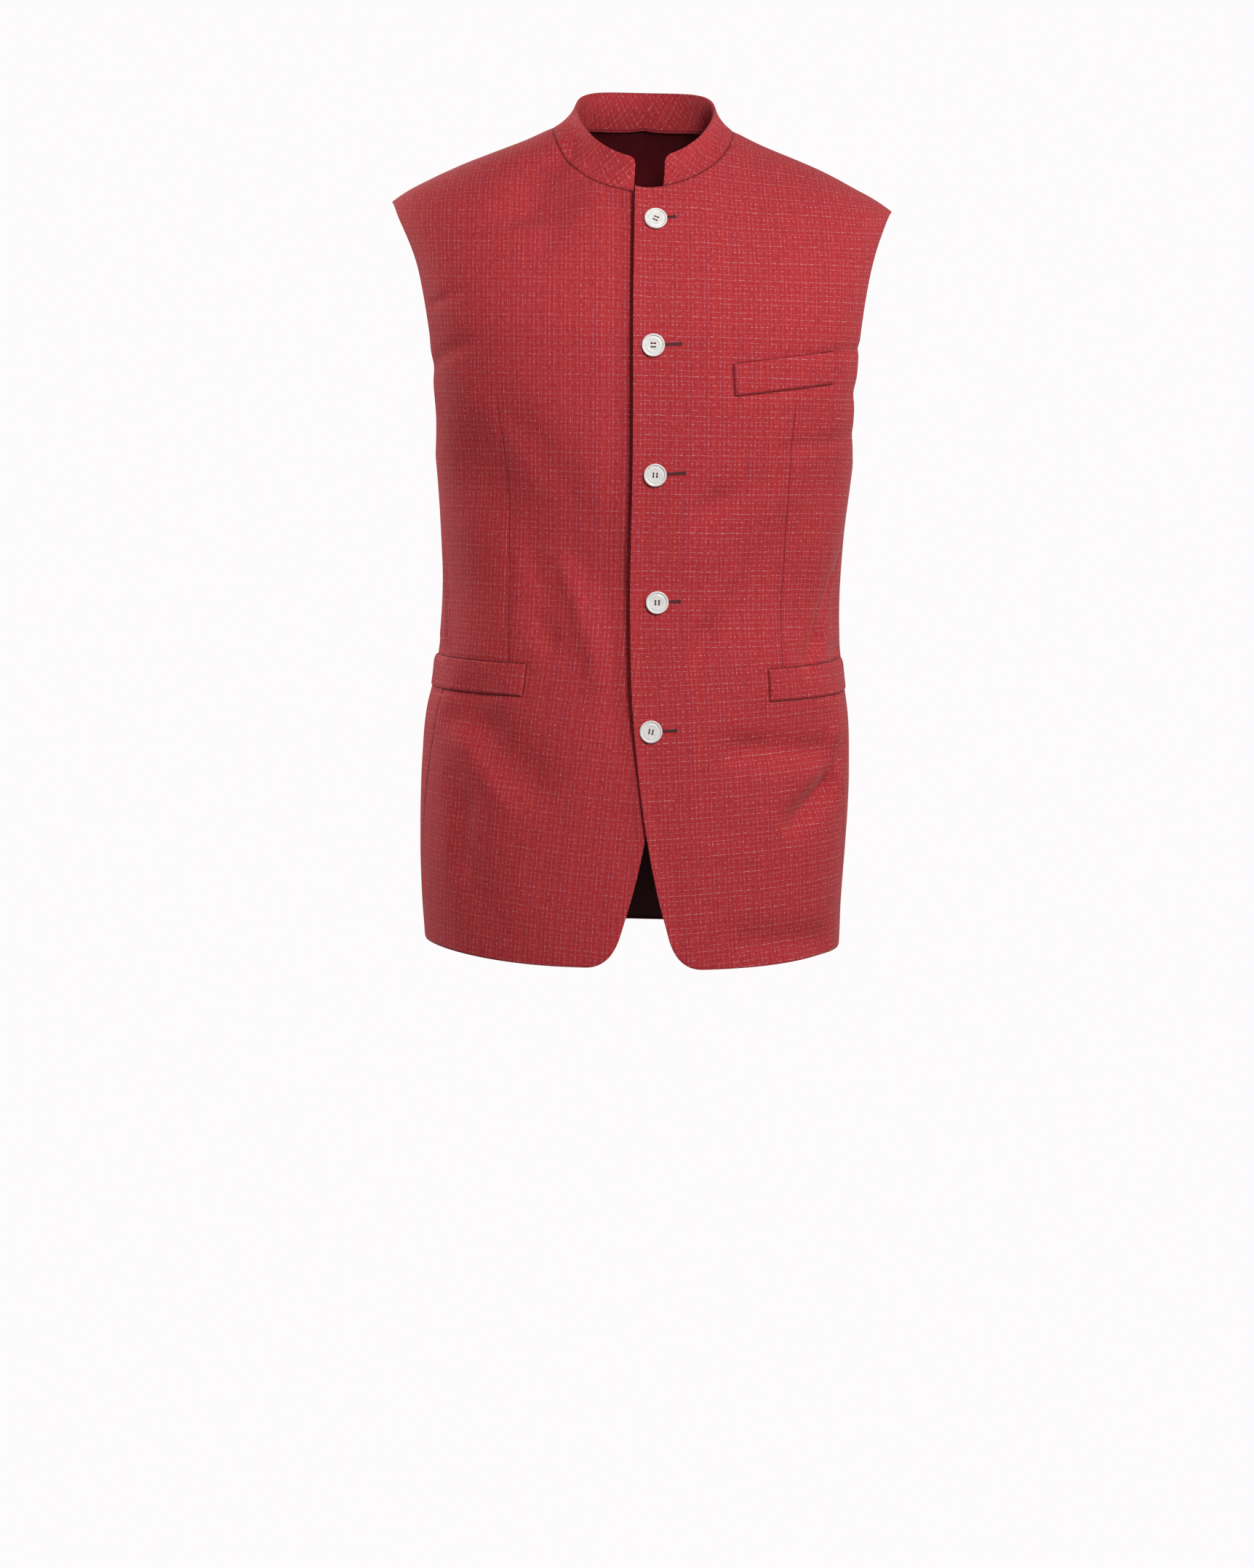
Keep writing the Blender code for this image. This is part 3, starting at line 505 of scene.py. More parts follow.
def form(turn, height):
    """Points of the worn form's outer face."""
    turn, height = np.broadcast_arrays(np.asarray(turn, float), np.asarray(height, float))
    low = np.minimum(height, CHEST)
    over = np.clip((height - CHEST) / SHOULDER_RUN, 0.0, 1.0) * math.pi / 2
    square = section("square", height)
    sine, cosine = np.abs(np.sin(turn)), np.abs(np.cos(turn))
    size = (sine ** square + cosine ** square) ** (-1.0 / square)
    across, forward = size * sine, size * cosine
    at_front = np.cos(turn) >= 0.0
    front_round = FRONT_ROUND + (FRONT_ROUND_AT_TIP - FRONT_ROUND) * across ** 2
    roundness = np.where(at_front, front_round, BACK_ROUND)
    rising, level = np.sin(over), np.maximum(np.cos(over), 0.0)
    size = (rising ** roundness + level ** roundness) ** (-1.0 / roundness)
    depth = np.where(at_front, section("front", low), section("back", low))
    ridge = ridge_z(across)
    x = section("centre", height) + section("half", height) * across * np.sign(np.sin(turn))
    y = depth * forward * size * level * np.where(at_front, -1.0, 1.0)
    z = low + size * rising * (ridge - CHEST)
    return np.stack([x, y, z], axis=-1)


def outward(turn, height):
    """The form's outward direction, which turns to the ridge's own at the shoulder seams."""
    turn, height = np.broadcast_arrays(np.asarray(turn, float), np.asarray(height, float))
    upper = np.minimum(height + SMALL_RISE, SHOULDER_TOP)
    around = form(turn + SMALL_TURN, height) - form(turn - SMALL_TURN, height)
    rise = form(turn, upper) - form(turn, upper - 2 * SMALL_RISE)
    direction = np.cross(around, rise)
    direction /= np.linalg.norm(direction, axis=-1, keepdims=True)
    tip = section("half", SHOULDER_TOP)
    across = np.abs(form(turn, SHOULDER_TOP)[..., 0] - NECK_CENTRE) / tip
    slope = (ridge_z(across - SMALL_TURN) - ridge_z(across + SMALL_TURN)) / (2 * SMALL_TURN * tip)
    ridge = np.stack([slope * np.sign(np.sin(turn)), 0.0 * slope, 1.0 + 0.0 * slope], axis=-1)
    ridge /= np.linalg.norm(ridge, axis=-1, keepdims=True)
    blend = smooth_step((height - SHOULDER_TOP) / RIDGE_BLEND + 1.0)[..., None]
    direction = direction * (1.0 - blend) + ridge * blend
    return direction / np.linalg.norm(direction, axis=-1, keepdims=True)


def fold_heights(table, turn, height):
    """Height of a table's folds above the form, in metres along its outward direction."""
    around = np.degrees(turn)
    total = np.zeros(np.broadcast(turn, height).shape)
    for row in table:
        fold = dict(zip(FOLD_COLUMNS, row))
        sweep = math.radians(fold["to_turn"] - fold["turn"]) * FORM_RADIUS
        line = np.array([sweep, fold["to_height"] - fold["height"]])
        length = math.hypot(*line)
        line = line / length
        shift = (around - fold["turn"] + 180.0) % 360.0 - 180.0
        place = np.stack([np.radians(shift) * FORM_RADIUS, height - fold["height"]], axis=-1)
        along_it = place @ line / length
        beside = place[..., 0] * line[1] - place[..., 1] * line[0]
        start = smooth_step((along_it + FOLD_RUN_ON) / FOLD_FADE)
        end = smooth_step((1.0 + FOLD_RUN_ON - along_it) / FOLD_FADE)
        total += fold["depth"] * start * end * np.exp(-(beside / fold["width"]) ** 2)
    return total


def unevenness(points):
    """Small swells of the cloth at points of the form."""
    total = np.zeros(points.shape[:-1])
    for spacing, swell in UNEVEN:
        values = [noise.noise(Vector(point) / spacing) for point in points.reshape(-1, 3)]
        total += swell * np.array(values).reshape(total.shape)
    return total


def dart_turn(side, height):
    """Turn of a front's dart seam at any height."""
    turns = column(DARTS, DART_COLUMNS, "left" if side > 0 else "right")
    return np.radians(smooth_through(column(DARTS, DART_COLUMNS, "height"), turns, height))


def dart_strength(height):
    """1 along the darts, fading to 0 past their two points."""
    low, high = DARTS[0][0], DARTS[-1][0]
    return smooth_step((height - low) / DART_FADE + 1.0) * smooth_step((high - height) / DART_FADE + 1.0)


def relief(turn, height, on_right):
    """Height of all folds, creases and swells; the buttoned middle lies flatter."""
    turn, height = np.broadcast_arrays(np.asarray(turn, float), np.asarray(height, float))
    points = form(turn, height)
    around = (np.degrees(turn) + 180.0) % 360.0 - 180.0
    lap = smooth_step((np.abs(around - LAP_TURN) - LAP_STIFF) / LAP_STIFF)
    beside = np.where(on_right, smooth_step((LAP_START - points[..., 0]) / LAP_SOFT + 1.0), lap)
    fine = fold_heights(CREASES, turn, height) + unevenness(points)
    for side in (1, -1):
        away = (np.radians(around) - dart_turn(side, height)) * FORM_RADIUS
        fine -= DART_DEPTH * dart_strength(height) * np.exp(-(away / DART_WIDTH) ** 2)
    total = fold_heights(FOLDS, turn, height) * lap + fine * beside
    hollow = LAP_HOLLOW * np.exp(-((points[..., 0] - LAP_HOLLOW_X) / LAP_HOLLOW_WIDTH) ** 2)
    hollow = hollow * smooth_step((height - LAP_HOLLOW_FOOT) / LAP_HOLLOW_FADE)
    return total - np.where(on_right & (np.cos(turn) > 0), hollow, 0.0)


def cloth(turn, height, lift=0.0, on_right=False):
    """Points at a given distance outside the creased cloth."""
    raised = np.asarray(relief(turn, height, on_right) + lift)[..., None]
    return form(turn, height) + outward(turn, height) * raised


def turn_at(x, height, at_back=False):
    """The turn at which the section at a height reaches the given x."""
    square = section("square", height)
    across = (x - section("centre", height)) / section("half", height)
    across = np.clip(across, -NEARLY_ONE, NEARLY_ONE)
    rest = (1.0 - np.abs(across) ** square) ** (1.0 / square)
    return np.arctan2(across, -rest if at_back else rest)


def place_at(x, z=None, y=None):
    """Turn and height of the front's point at x and z, or of the back's point at x and y."""
    x, wanted = np.broadcast_arrays(np.asarray(x, float), np.asarray(y if z is None else z, float))
    low = np.full(x.shape, CHEST if z is None else SECTIONS[0][0])
    high = np.full(x.shape, SHOULDER_TOP)
    for _ in range(HALVINGS):
        height = (low + high) / 2
        point = form(turn_at(x, height, at_back=z is None), height)
        above = point[..., 1] < wanted if z is None else point[..., 2] > wanted
        high = np.where(above, height, high)
        low = np.where(above, low, height)
    height = (low + high) / 2
    return turn_at(x, height, at_back=z is None), height


def along(path, shares):
    """Places at the given shares of a path's length."""
    path = np.asarray(path, float)
    steps = np.hypot(np.diff(path[:, 0]) * FORM_RADIUS, np.diff(path[:, 1]))
    reach = np.concatenate([[0.0], np.cumsum(steps)])
    wanted = reach[-1] * np.asarray(shares)
    return np.stack([np.interp(wanted, reach, path[:, k]) for k in (0, 1)], axis=-1)


def cell_shares(count, length, at_start, at_end):
    """Shares of a run of cells, with closer ones at a free end so that the edge can roll over."""
    close = np.array(EDGE_STEPS) / length
    first = close if at_start else np.zeros(1)
    last = 1.0 - close[::-1] if at_end else np.ones(1)
    middle = np.linspace(first[-1], last[0], count)[1:-1]
    return np.concatenate([first, middle, last])


def across_front(x, side):
    """The left front's x, or the same place on the right front, mirrored about its middle."""
    return x if side > 0 else 2 * CENTRE_FRONT - x


def corner_curve(first, last):
    """Points x and z of the left front's round corner, between two shares of its curve."""
    t = np.linspace(first, last, CORNER_STEPS + 1)[:, None]
    top, middle, end = (np.array(point) for point in (CORNER_TOP, CORNER_MIDDLE, CORNER_END))
    return ((1 - t) ** 2 * top + 2 * t * (1 - t) * middle + t * t * end).T


def front_edge_x(z):
    """The left front's edge at any level above its round corner."""
    return smooth_through(
        column(FRONT_EDGE, FRONT_EDGE_COLUMNS, "z"), column(FRONT_EDGE, FRONT_EDGE_COLUMNS, "x"), z)


def front_edge_path(side):
    """From the middle of the round corner up the front edge to the neckline."""
    corner_x, corner_z = corner_curve(0.5, 0.0)
    z = np.linspace(CORNER_TOP[1], neck_front_z(FRONT_EDGE[-1][1]), PATH_STEPS)[1:]
    x = np.concatenate([corner_x, front_edge_x(z)])
    z = np.concatenate([corner_z, z])
    x = across_front(x, side)
    z[-1] = neck_front_z(x[-1])
    return np.stack(place_at(x, z), axis=1)


def neck_front_z(x):
    """Height of the neckline's seam on the front at a given x."""
    across = abs(x - NECK_CENTRE) / NECK_HALF
    return NECK_SIDE_Z - NECK_FRONT_DROP * (1.0 - across ** NECK_SQUARE) ** (1.0 / NECK_SQUARE)


def neckline(angle):
    """The neck seam's turn and height; the angle is 0 at the front and 180 degrees at the back."""
    angle = np.asarray(angle, float)
    sine, cosine = np.abs(np.sin(angle)), np.abs(np.cos(angle))
    size = (sine ** NECK_SQUARE + cosine ** NECK_SQUARE) ** (-1.0 / NECK_SQUARE)
    x = NECK_CENTRE + NECK_HALF * size * sine * np.sign(np.sin(angle))
    front = place_at(x, NECK_SIDE_Z - NECK_FRONT_DROP * size * cosine)
    back = place_at(x, y=NECK_BACK_DEPTH * size * cosine)
    at_front = np.cos(angle) >= 0.0
    on_ridge = np.abs(np.cos(angle)) < 2.0 - 2.0 * NEARLY_ONE
    turn = np.where(at_front, front[0], back[0])
    height = np.where(at_front, front[1], back[1])
    return turn, np.where(on_ridge, SHOULDER_TOP, height)


def neck_angle(x):
    """The neckline's angle at a given x on the front."""
    across = (x - NECK_CENTRE) / NECK_HALF
    rest = (1.0 - abs(across) ** NECK_SQUARE) ** (1.0 / NECK_SQUARE)
    return math.atan2(across, rest)


def hem_height(turn):
    """The hem, a little lower at the front than at the sides."""
    degrees = np.degrees(np.abs(turn))
    rise = smooth_step((degrees - HEM_RISE_START) / (HEM_RISE_END - HEM_RISE_START))
    return HEM_FRONT + (HEM_SIDE - HEM_FRONT) * rise


def seam_turn(height):
    """The side seam's turn at any height."""
    heights = column(SIDE_SEAM, SIDE_SEAM_COLUMNS, "height")
    return np.radians(smooth_through(heights, column(SIDE_SEAM, SIDE_SEAM_COLUMNS, "turn"), height))


def side_edge(side, face, seam_shares, hole_shares):
    """Up the side seam from the hem, then round the armhole to the shoulder tip."""
    foot = hem_height(np.radians(SIDE_SEAM[0][1]))
    heights = np.linspace(foot, UNDERARM, PATH_STEPS)
    seam = along(np.stack([seam_turn(heights), heights], axis=1), seam_shares)
    rows = np.arange(len(ARMHOLE))
    fine = np.linspace(0, rows[-1], PATH_STEPS)
    rise = smooth_through(rows, column(ARMHOLE, ARMHOLE_COLUMNS, "rise"), fine)
    away = np.radians(smooth_through(rows, column(ARMHOLE, ARMHOLE_COLUMNS, face), fine))
    heights = UNDERARM + (SHOULDER_TOP - UNDERARM) * rise
    start = seam_turn(UNDERARM)
    straighten = smooth_step((heights - UNDERARM) / ARMHOLE_STRAIGHTENS)
    middle = start + (math.pi / 2 - start) * straighten
    turns = middle - away if face == "front" else middle + away
    hole = along(np.stack([turns, heights], axis=1), hole_shares)
    path = np.concatenate([seam, hole[1:]])
    path[:, 0] *= side
    return path


def fill(bottom, top, left, right, p, q, hold):
    """Grid of places between four edge paths that share their corners, at the shares p and q."""
    p, q = p[None, :, None], q[:, None, None]
    fade = 1 + hold * q ** 4
    left_bend = left[:, None] - (1 - q) * left[0] - q * left[-1]
    right_bend = right[:, None] - (1 - q) * right[0] - q * right[-1]
    return (1 - q) * bottom + q * top + (1 - p) ** fade * left_bend + p ** fade * right_bend


def no_further(turns):
    """Turns held just short of the last one, so that the cells beside it can't fold over."""
    room = np.arange(len(turns))[::-1] * SLIVER
    return np.minimum(turns, turns[-1] - room)


def row_shares():
    """Shares of the side seam's and the armhole's cells, and of all rows together."""
    seam = cell_shares(SIDE_CELLS, SIDE_RUN, True, False)
    hole = cell_shares(ARMHOLE_CELLS, ARMHOLE_RUN, False, True)
    return seam, hole, np.concatenate([SIDE_PART * seam, SIDE_PART + (1 - SIDE_PART) * hole[1:]])


def front_places(side):
    """Places of one front panel: rows from hem to top, columns from the front edge to the side."""
    seam, hole, q = row_shares()
    near = cell_shares(NECK_CELLS, NECK_RUN, True, False)
    far = cell_shares(SHOULDER_CELLS, SHOULDER_SEAM_RUN, False, True)
    p = np.concatenate([FRONT_NECK_PART * near, FRONT_NECK_PART + (1 - FRONT_NECK_PART) * far[1:]])
    edge = along(front_edge_path(side), q)
    outer = side_edge(side, "front", seam, hole)
    corner_x, corner_z = corner_curve(0.5, 1.0)
    start = np.stack(place_at(across_front(corner_x, side), corner_z), axis=1)
    turns = np.linspace(start[-1, 0], outer[0, 0], PATH_STEPS)[1:]
    hem = np.concatenate([start, np.stack([turns, hem_height(turns)], axis=1)])
    hem = along(hem, p)
    first = neck_angle(across_front(FRONT_EDGE[-1][1], side))
    last = side * math.pi / 2 * NEARLY_ONE
    neck = np.stack(neckline(first + (last - first) * near), axis=1)
    neck[-1, 1] = SHOULDER_TOP
    neck[:, 0] = side * no_further(side * neck[:, 0])
    turns = neck[-1, 0] + (outer[-1, 0] - neck[-1, 0]) * far[1:]
    shoulder = np.stack([turns, np.full(turns.shape, SHOULDER_TOP)], axis=1)
    top = np.concatenate([neck, shoulder])
    edge[0], edge[-1], hem[-1] = hem[0], top[0], outer[0]
    return fill(hem, top, edge, outer, p, q, FRONT_HOLD)


def back_places():
    """Places of the back panel: rows from hem to top, columns from the left side to the right."""
    seam, hole, q = row_shares()
    near = cell_shares(SHOULDER_CELLS, SHOULDER_SEAM_RUN, True, False)
    middle = np.linspace(0.0, 1.0, BACK_NECK_CELLS + 1)
    start, span = BACK_NECK_START, 1.0 - 2.0 * BACK_NECK_START
    p = np.concatenate([start * near, start + span * middle[1:-1], 1.0 - start * near[::-1]])
    left, right = side_edge(1, "back", seam, hole), side_edge(-1, "back", seam, hole)
    right[:, 0] += 2 * math.pi
    turns = left[0, 0] + (right[0, 0] - left[0, 0]) * p
    hem = np.stack([turns, hem_height(np.where(turns > math.pi, 2 * math.pi - turns, turns))], axis=1)
    tip = math.pi / 2 * (2.0 - NEARLY_ONE)
    neck = np.stack(neckline(tip + (2 * math.pi - 2 * tip) * middle), axis=1)
    neck[:, 0] %= 2 * math.pi
    neck[[0, -1], 1] = SHOULDER_TOP
    half = len(neck) // 2
    neck[half:, 0] = no_further(neck[half:, 0])
    neck[:half, 0] = -no_further(-neck[:half, 0][::-1])[::-1]
    first = left[-1, 0] + (neck[0, 0] - left[-1, 0]) * near[:-1]
    last = right[-1, 0] + (neck[-1, 0] - right[-1, 0]) * near[:-1][::-1]
    first = np.stack([first, np.full(first.shape, SHOULDER_TOP)], axis=1)
    last = np.stack([last, np.full(last.shape, SHOULDER_TOP)], axis=1)
    return fill(hem, np.concatenate([first, neck, last]), left, right, p, q, BACK_HOLD)


def length_map(centre):
    """Lengths round the form from a turn and up it from the chest, on an even grid of places."""
    heights = np.linspace(SECTIONS[0][0], SHOULDER_TOP, MAP_ROWS + 1)[:, None]
    turns = centre + np.linspace(-math.pi, math.pi, MAP_COLUMNS + 1)[None, :]
    points = form(turns, heights)
    around = np.cumsum(np.linalg.norm(np.diff(points, axis=1), axis=-1), axis=1)
    around = np.concatenate([np.zeros((MAP_ROWS + 1, 1)), around], axis=1)
    around -= around[:, MAP_COLUMNS // 2][:, None]
    up = np.cumsum(np.linalg.norm(np.diff(points, axis=0), axis=-1), axis=0)
    up = np.concatenate([np.zeros((1, MAP_COLUMNS + 1)), up], axis=0)
    chest = round((CHEST - SECTIONS[0][0]) / (SHOULDER_TOP - SECTIONS[0][0]) * MAP_ROWS)
    return centre, np.stack([around, up - up[chest][None, :]], axis=-1)


FRONT_MAP = length_map(0.0)
BACK_MAP = length_map(math.pi)


def lengths(table, turn, height):
    """Lengths round and up the form at any place, read from a map of them."""
    centre, values = table
    column_place = (turn - centre + math.pi) / (2 * math.pi) * MAP_COLUMNS
    row_place = (height - SECTIONS[0][0]) / (SHOULDER_TOP - SECTIONS[0][0]) * MAP_ROWS
    left = np.clip(np.floor(column_place).astype(int), 0, MAP_COLUMNS - 1)
    low = np.clip(np.floor(row_place).astype(int), 0, MAP_ROWS - 1)
    across, rise = (column_place - left)[..., None], (row_place - low)[..., None]
    lower = values[low, left] * (1 - across) + values[low, left + 1] * across
    upper = values[low + 1, left] * (1 - across) + values[low + 1, left + 1] * across
    return lower * (1 - rise) + upper * rise


def grain(turn, height, table):
    """Place on the flat cloth in metres, across and along its warp."""
    flat = lengths(table, turn, height)
    if table is FRONT_MAP:
        depth = np.maximum(SWING_FROM - height, 0.0)
        lean = SWING * smooth_step(depth / SWING_OVER)
        across, up = flat[..., 0], flat[..., 1]
        across_swung = across - np.sign(np.sin(turn)) * lean * depth
        flat = np.stack([across_swung, up - lean * np.abs(across)], axis=-1)
    return flat


def lap_lift(turn, height):
    """How far the left front lies outside the form, where it laps over the right one."""
    x = form(turn, height)[..., 0]
    return (CLOTH_WALL + LAP_GAP) * (1.0 - smooth_step((x - LAP_FULL_TO) / LAP_FADE))


def left_lift(turn, height):
    """The lap's lift with its free edge standing a little off the right front."""
    point = form(turn, height)
    reach = (point[..., 0] - front_edge_x(point[..., 2])) / FREE_EDGE_FADE
    return lap_lift(turn, height) + FREE_EDGE_LIFT * np.clip(1.0 - reach, 0.0, 1.0) ** 2


def edge_reach(points, sides=("left", "right", "bottom", "top")):
    """How far each point of a grid lies from the nearest of the named edges."""
    edges = {"left": points[:, 0], "right": points[:, -1], "bottom": points[0], "top": points[-1]}
    places = []
    for side in sides:
        edge = edges[side]
        for share in np.arange(EDGE_SAMPLES) / EDGE_SAMPLES:
            places.append(edge[:-1] * (1.0 - share) + edge[1:] * share)
        places.append(edge[-1:])
    places = np.concatenate(places)
    tree = kdtree.KDTree(len(places))
    for index, place in enumerate(places):
        tree.insert(place, index)
    tree.balance()
    reach = [tree.find(point)[2] for point in points.reshape(-1, 3)]
    return np.array(reach).reshape(points.shape[:-1])


def rolled(distance, drop=EDGE_DROP, reach=EDGE_REACH):
    """Drop of a turned edge at a distance from it."""
    return -drop * np.clip(1.0 - distance / reach, 0.0, 1.0) ** 2


def linear(code):
    """An sRGB hex colour as linear red, green, blue and full alpha."""
    parts = [int(code[k:k + 2], 16) / 255 for k in (1, 3, 5)]
    return (*[c / 12.92 if c <= 0.04045 else ((c + 0.055) / 1.055) ** 2.4 for c in parts], 1.0)


def add(tree, kind, inputs=(), **settings):
    """A node with its settings, its inputs set to values or linked to sockets."""
    node = tree.nodes.new(kind)
    for name, value in settings.items():
        setattr(node, name, value)
    for name, value in dict(inputs).items():
        if isinstance(value, bpy.types.NodeSocket):
            tree.links.new(value, node.inputs[name])
        else:
            node.inputs[name].default_value = value
    return node


def new_material(name):
    """A material with its node tree and its Principled shader."""
    material = bpy.data.materials.new(name)
    material.use_nodes = True
    return material, material.node_tree, material.node_tree.nodes["Principled BSDF"]


def set_stops(ramp, stops):
    """Gives a colour ramp its stops, each a place from 0 to 1 and a colour."""
    elements = ramp.color_ramp.elements
    while len(elements) > 1:
        elements.remove(elements[-1])
    elements[0].position, elements[0].color = stops[0]
    for place, colour in stops[1:]:
        element = elements.new(place)
        element.color = colour


def line_stops(lines, repeat, base):
    """Stops for soft lines across one repeat: each has a middle, a width, a colour and a strength."""
    stops = [(0.0, (*base[:3], 0.0))]
    for middle, width, colour, strength in lines:
        for offset, cover in (
                (-LINE_REACH, 0.0), (-LINE_CORE, strength), (LINE_CORE, strength), (LINE_REACH, 0.0)):
            place = min(max((middle + offset * width) / repeat, 0.0), 1.0)
            stops.append((place, (*colour[:3], cover)))
    stops.append((1.0, (*base[:3], 0.0)))
    return stops


def dash_stops(dashes, repeat, soft):
    """Grey stops for dashes along a line: each runs from one place to another at a strength."""
    stops = [(0.0, (0.0, 0.0, 0.0, 1.0))]
    for start, end, strength in dashes:
        grey = (strength, strength, strength, 1.0)
        for place, colour in (
                (start - soft, stops[0][1]), (start, grey), (end, grey), (end + soft, stops[0][1])):
            stops.append((min(max(place / repeat, 0.0), 1.0), colour))
    return stops


ROSE = linear("#DE939B")
PALE = linear("#E8B4B6")
LAVENDER = linear("#B985A0")
# Dark maroon of the shade painted into the creases of the darts, the welts and the collar's seam
CREASE_SHADE_MAROON = linear("#5E141C")
PAPER_WHITE = linear("#FDFBFC")

# Lines of one repeat: middle and width in millimetres, colour and strength
WARP_LINES = (
    (1.0, 0.60, ROSE, 0.56),
    (5.2, 0.56, ROSE, 0.50),
    (7.2, 0.48, ROSE, 0.36),
    (11.5, 0.60, LAVENDER, 0.56),
)
WEFT_LINES = (
    (1.0, 0.62, PALE, 0.54),
    (6.1, 0.56, ROSE, 0.52),
    (13.9, 0.56, ROSE, 0.52),
)
WEFT_DOTTED = (
    (3.4, 0.44, ROSE, 0.26),
    (10.9, 0.62, PALE, 0.52),
)
# Dashes of the wefts along the warps' repeat, and of the warps along the wefts' repeat
WEFT_DASHES = ((0.2, 6.0, 1.0), (8.1, 12.9, 0.9))
WEFT_DOTS = ((0.5, 1.7, 1.0), (4.7, 5.8, 1.0), (7.0, 7.6, 0.8), (10.8, 12.3, 1.0))
WARP_DASHES = ((0.0, 3.4, 1.0), (4.5, 8.3, 0.9), (9.3, 15.4, 0.95), (16.6, 17.5, 1.0))
DASH_SOFT = 0.5


def streaks(tree, place, counts, detail, roughness=0.5):
    """Noise drawn out into streaks, so many a metre across and along the cloth."""
    drawn = add(tree, "ShaderNodeMapping", {"Vector": place, "Scale": counts}).outputs[0]
    return add(tree, "ShaderNodeTexNoise", {"Vector": drawn, "Scale": 1.0, "Detail": detail,
                                            "Roughness": roughness}).outputs["Fac"]


def woven_ground(tree, place):
    """Warp and weft threads of slightly different reds: their colour, and their relief."""
    warp = streaks(tree, place, WARP_STREAKS, 3.0, 0.65)
    weft = streaks(tree, place, WEFT_STREAKS, 3.0, 0.65)
    threads = add(tree, "ShaderNodeMath", {0: warp, 1: weft}, operation="ADD").outputs[0]
    reds = add(tree, "ShaderNodeMapRange", {"Value": threads, "From Min": 0.75, "From Max": 1.25})
    reds = add(tree, "ShaderNodeValToRGB", {"Fac": reds.outputs[0]})
    set_stops(reds, [(0.0, linear("#A0242F")), (0.35, linear("#B33039")),
                     (0.65, linear("#BA363B")), (1.0, linear("#C44244"))])

    # Wide stripes of warp, some more orange and some more crimson
    tint = add(tree, "ShaderNodeValToRGB", {"Fac": streaks(tree, place, STRIPES, 1.0)})
    set_stops(tint, [(0.35, linear("#FBEFF8")), (0.65, linear("#FFF4EC"))])
    ground = add(tree, "ShaderNodeMix", {"Factor": 1.0, "A": reds.outputs[0], "B": tint.outputs[0]},
                 data_type="RGBA", blend_type="MULTIPLY")
    return ground.outputs["Result"], threads


def line_cover(tree, ways, lines, dashes, fade, strength):
    """Colour of a set of broken lines and how much of the ground they cover.

    The ways are the place across the lines and its repeat, then the place along them and its repeat.
    """
    across, repeat, along_lines, dash_repeat = ways
    line = add(tree, "ShaderNodeValToRGB", {"Fac": across})
    set_stops(line, line_stops(lines, repeat, lines[0][2]))
    dash = add(tree, "ShaderNodeValToRGB", {"Fac": along_lines})
    set_stops(dash, dash_stops(dashes, dash_repeat, DASH_SOFT))
    amount = line.outputs["Alpha"]
    for factor in (dash.outputs[0], fade, strength):
        amount = add(tree, "ShaderNodeMath", {0: amount, 1: factor}, operation="MULTIPLY").outputs[0]
    return line.outputs["Color"], amount


def broken_check(tree, place, colour, warp_strength, weft_strength):
    """The check's lines laid over a ground: the colour, and how far the yarns stand proud."""
    sway = add(tree, "ShaderNodeTexNoise", {"Vector": place, "Scale": SWAY_COUNT, "Detail": 3.0})
    wavy = add(tree, "ShaderNodeVectorMath", {0: sway.outputs["Color"], 1: (SWAY,) * 3, 2: place},
               operation="MULTIPLY_ADD").outputs[0]
    cells = add(tree, "ShaderNodeVectorMath",
                {0: wavy, 1: (1 / (WARP_REPEAT * MM), 1 / (WEFT_REPEAT * MM), 1.0)},
                operation="MULTIPLY").outputs[0]
    cells = add(tree, "ShaderNodeVectorMath", {0: cells}, operation="FRACTION").outputs[0]
    split = add(tree, "ShaderNodeSeparateXYZ", {0: cells})
    warps = (split.outputs["X"], WARP_REPEAT, split.outputs["Y"], WEFT_REPEAT)
    wefts = (split.outputs["Y"], WEFT_REPEAT, split.outputs["X"], WARP_REPEAT)

    # Each yarn's strength comes and goes along its line
    fade = add(tree, "ShaderNodeTexNoise", {"Vector": place, "Scale": FADE_COUNT, "Detail": 2.0,
                                            "Roughness": 0.6}).outputs["Fac"]
    fade = add(tree, "ShaderNodeMapRange", {"Value": fade, "From Min": 0.41, "From Max": 0.60,
                                            "To Min": 0.05, "To Max": 1.18}).outputs[0]
    covers = []
    for ways, lines, dashes, strength in ((warps, WARP_LINES, WARP_DASHES, warp_strength),
                                          (wefts, WEFT_DOTTED, WEFT_DOTS, weft_strength),
                                          (wefts, WEFT_LINES, WEFT_DASHES, weft_strength)):
        line_colour, amount = line_cover(tree, ways, lines, dashes, fade, strength)
        colour = add(tree, "ShaderNodeMix", {"Factor": amount, "A": colour, "B": line_colour},
                     data_type="RGBA").outputs["Result"]
        covers.append(amount)
    raised = add(tree, "ShaderNodeMath", {0: covers[0], 1: covers[2]}, operation="MAXIMUM")
    return colour, raised.outputs[0]


def crease_shade_mask(tree):
    """1 along the dart and along each welt's edge (the collar's seam on the collar), read in millimetres
    from the seams map: where shade is painted into the creases.
    """
    seams = add(tree, "ShaderNodeAttribute", attribute_name="seams").outputs["Vector"]
    parts = add(tree, "ShaderNodeSeparateXYZ", {0: seams})
    near = []
    for axis, (full, none) in (("X", DART_SHADE), ("Z", WELT_SHADE)):
        away = add(tree, "ShaderNodeMath", {0: parts.outputs[axis]}, operation="ABSOLUTE").outputs[0]
        near.append(add(tree, "ShaderNodeMapRange", {"Value": away, "From Min": full, "From Max": none,
                                                     "To Min": 1.0, "To Max": 0.0}).outputs[0])
    dart = add(tree, "ShaderNodeMath", {0: near[0], 1: parts.outputs["Y"]},
               operation="MULTIPLY").outputs[0]
    return add(tree, "ShaderNodeMath", {0: dart, 1: near[1]}, operation="MAXIMUM").outputs[0]


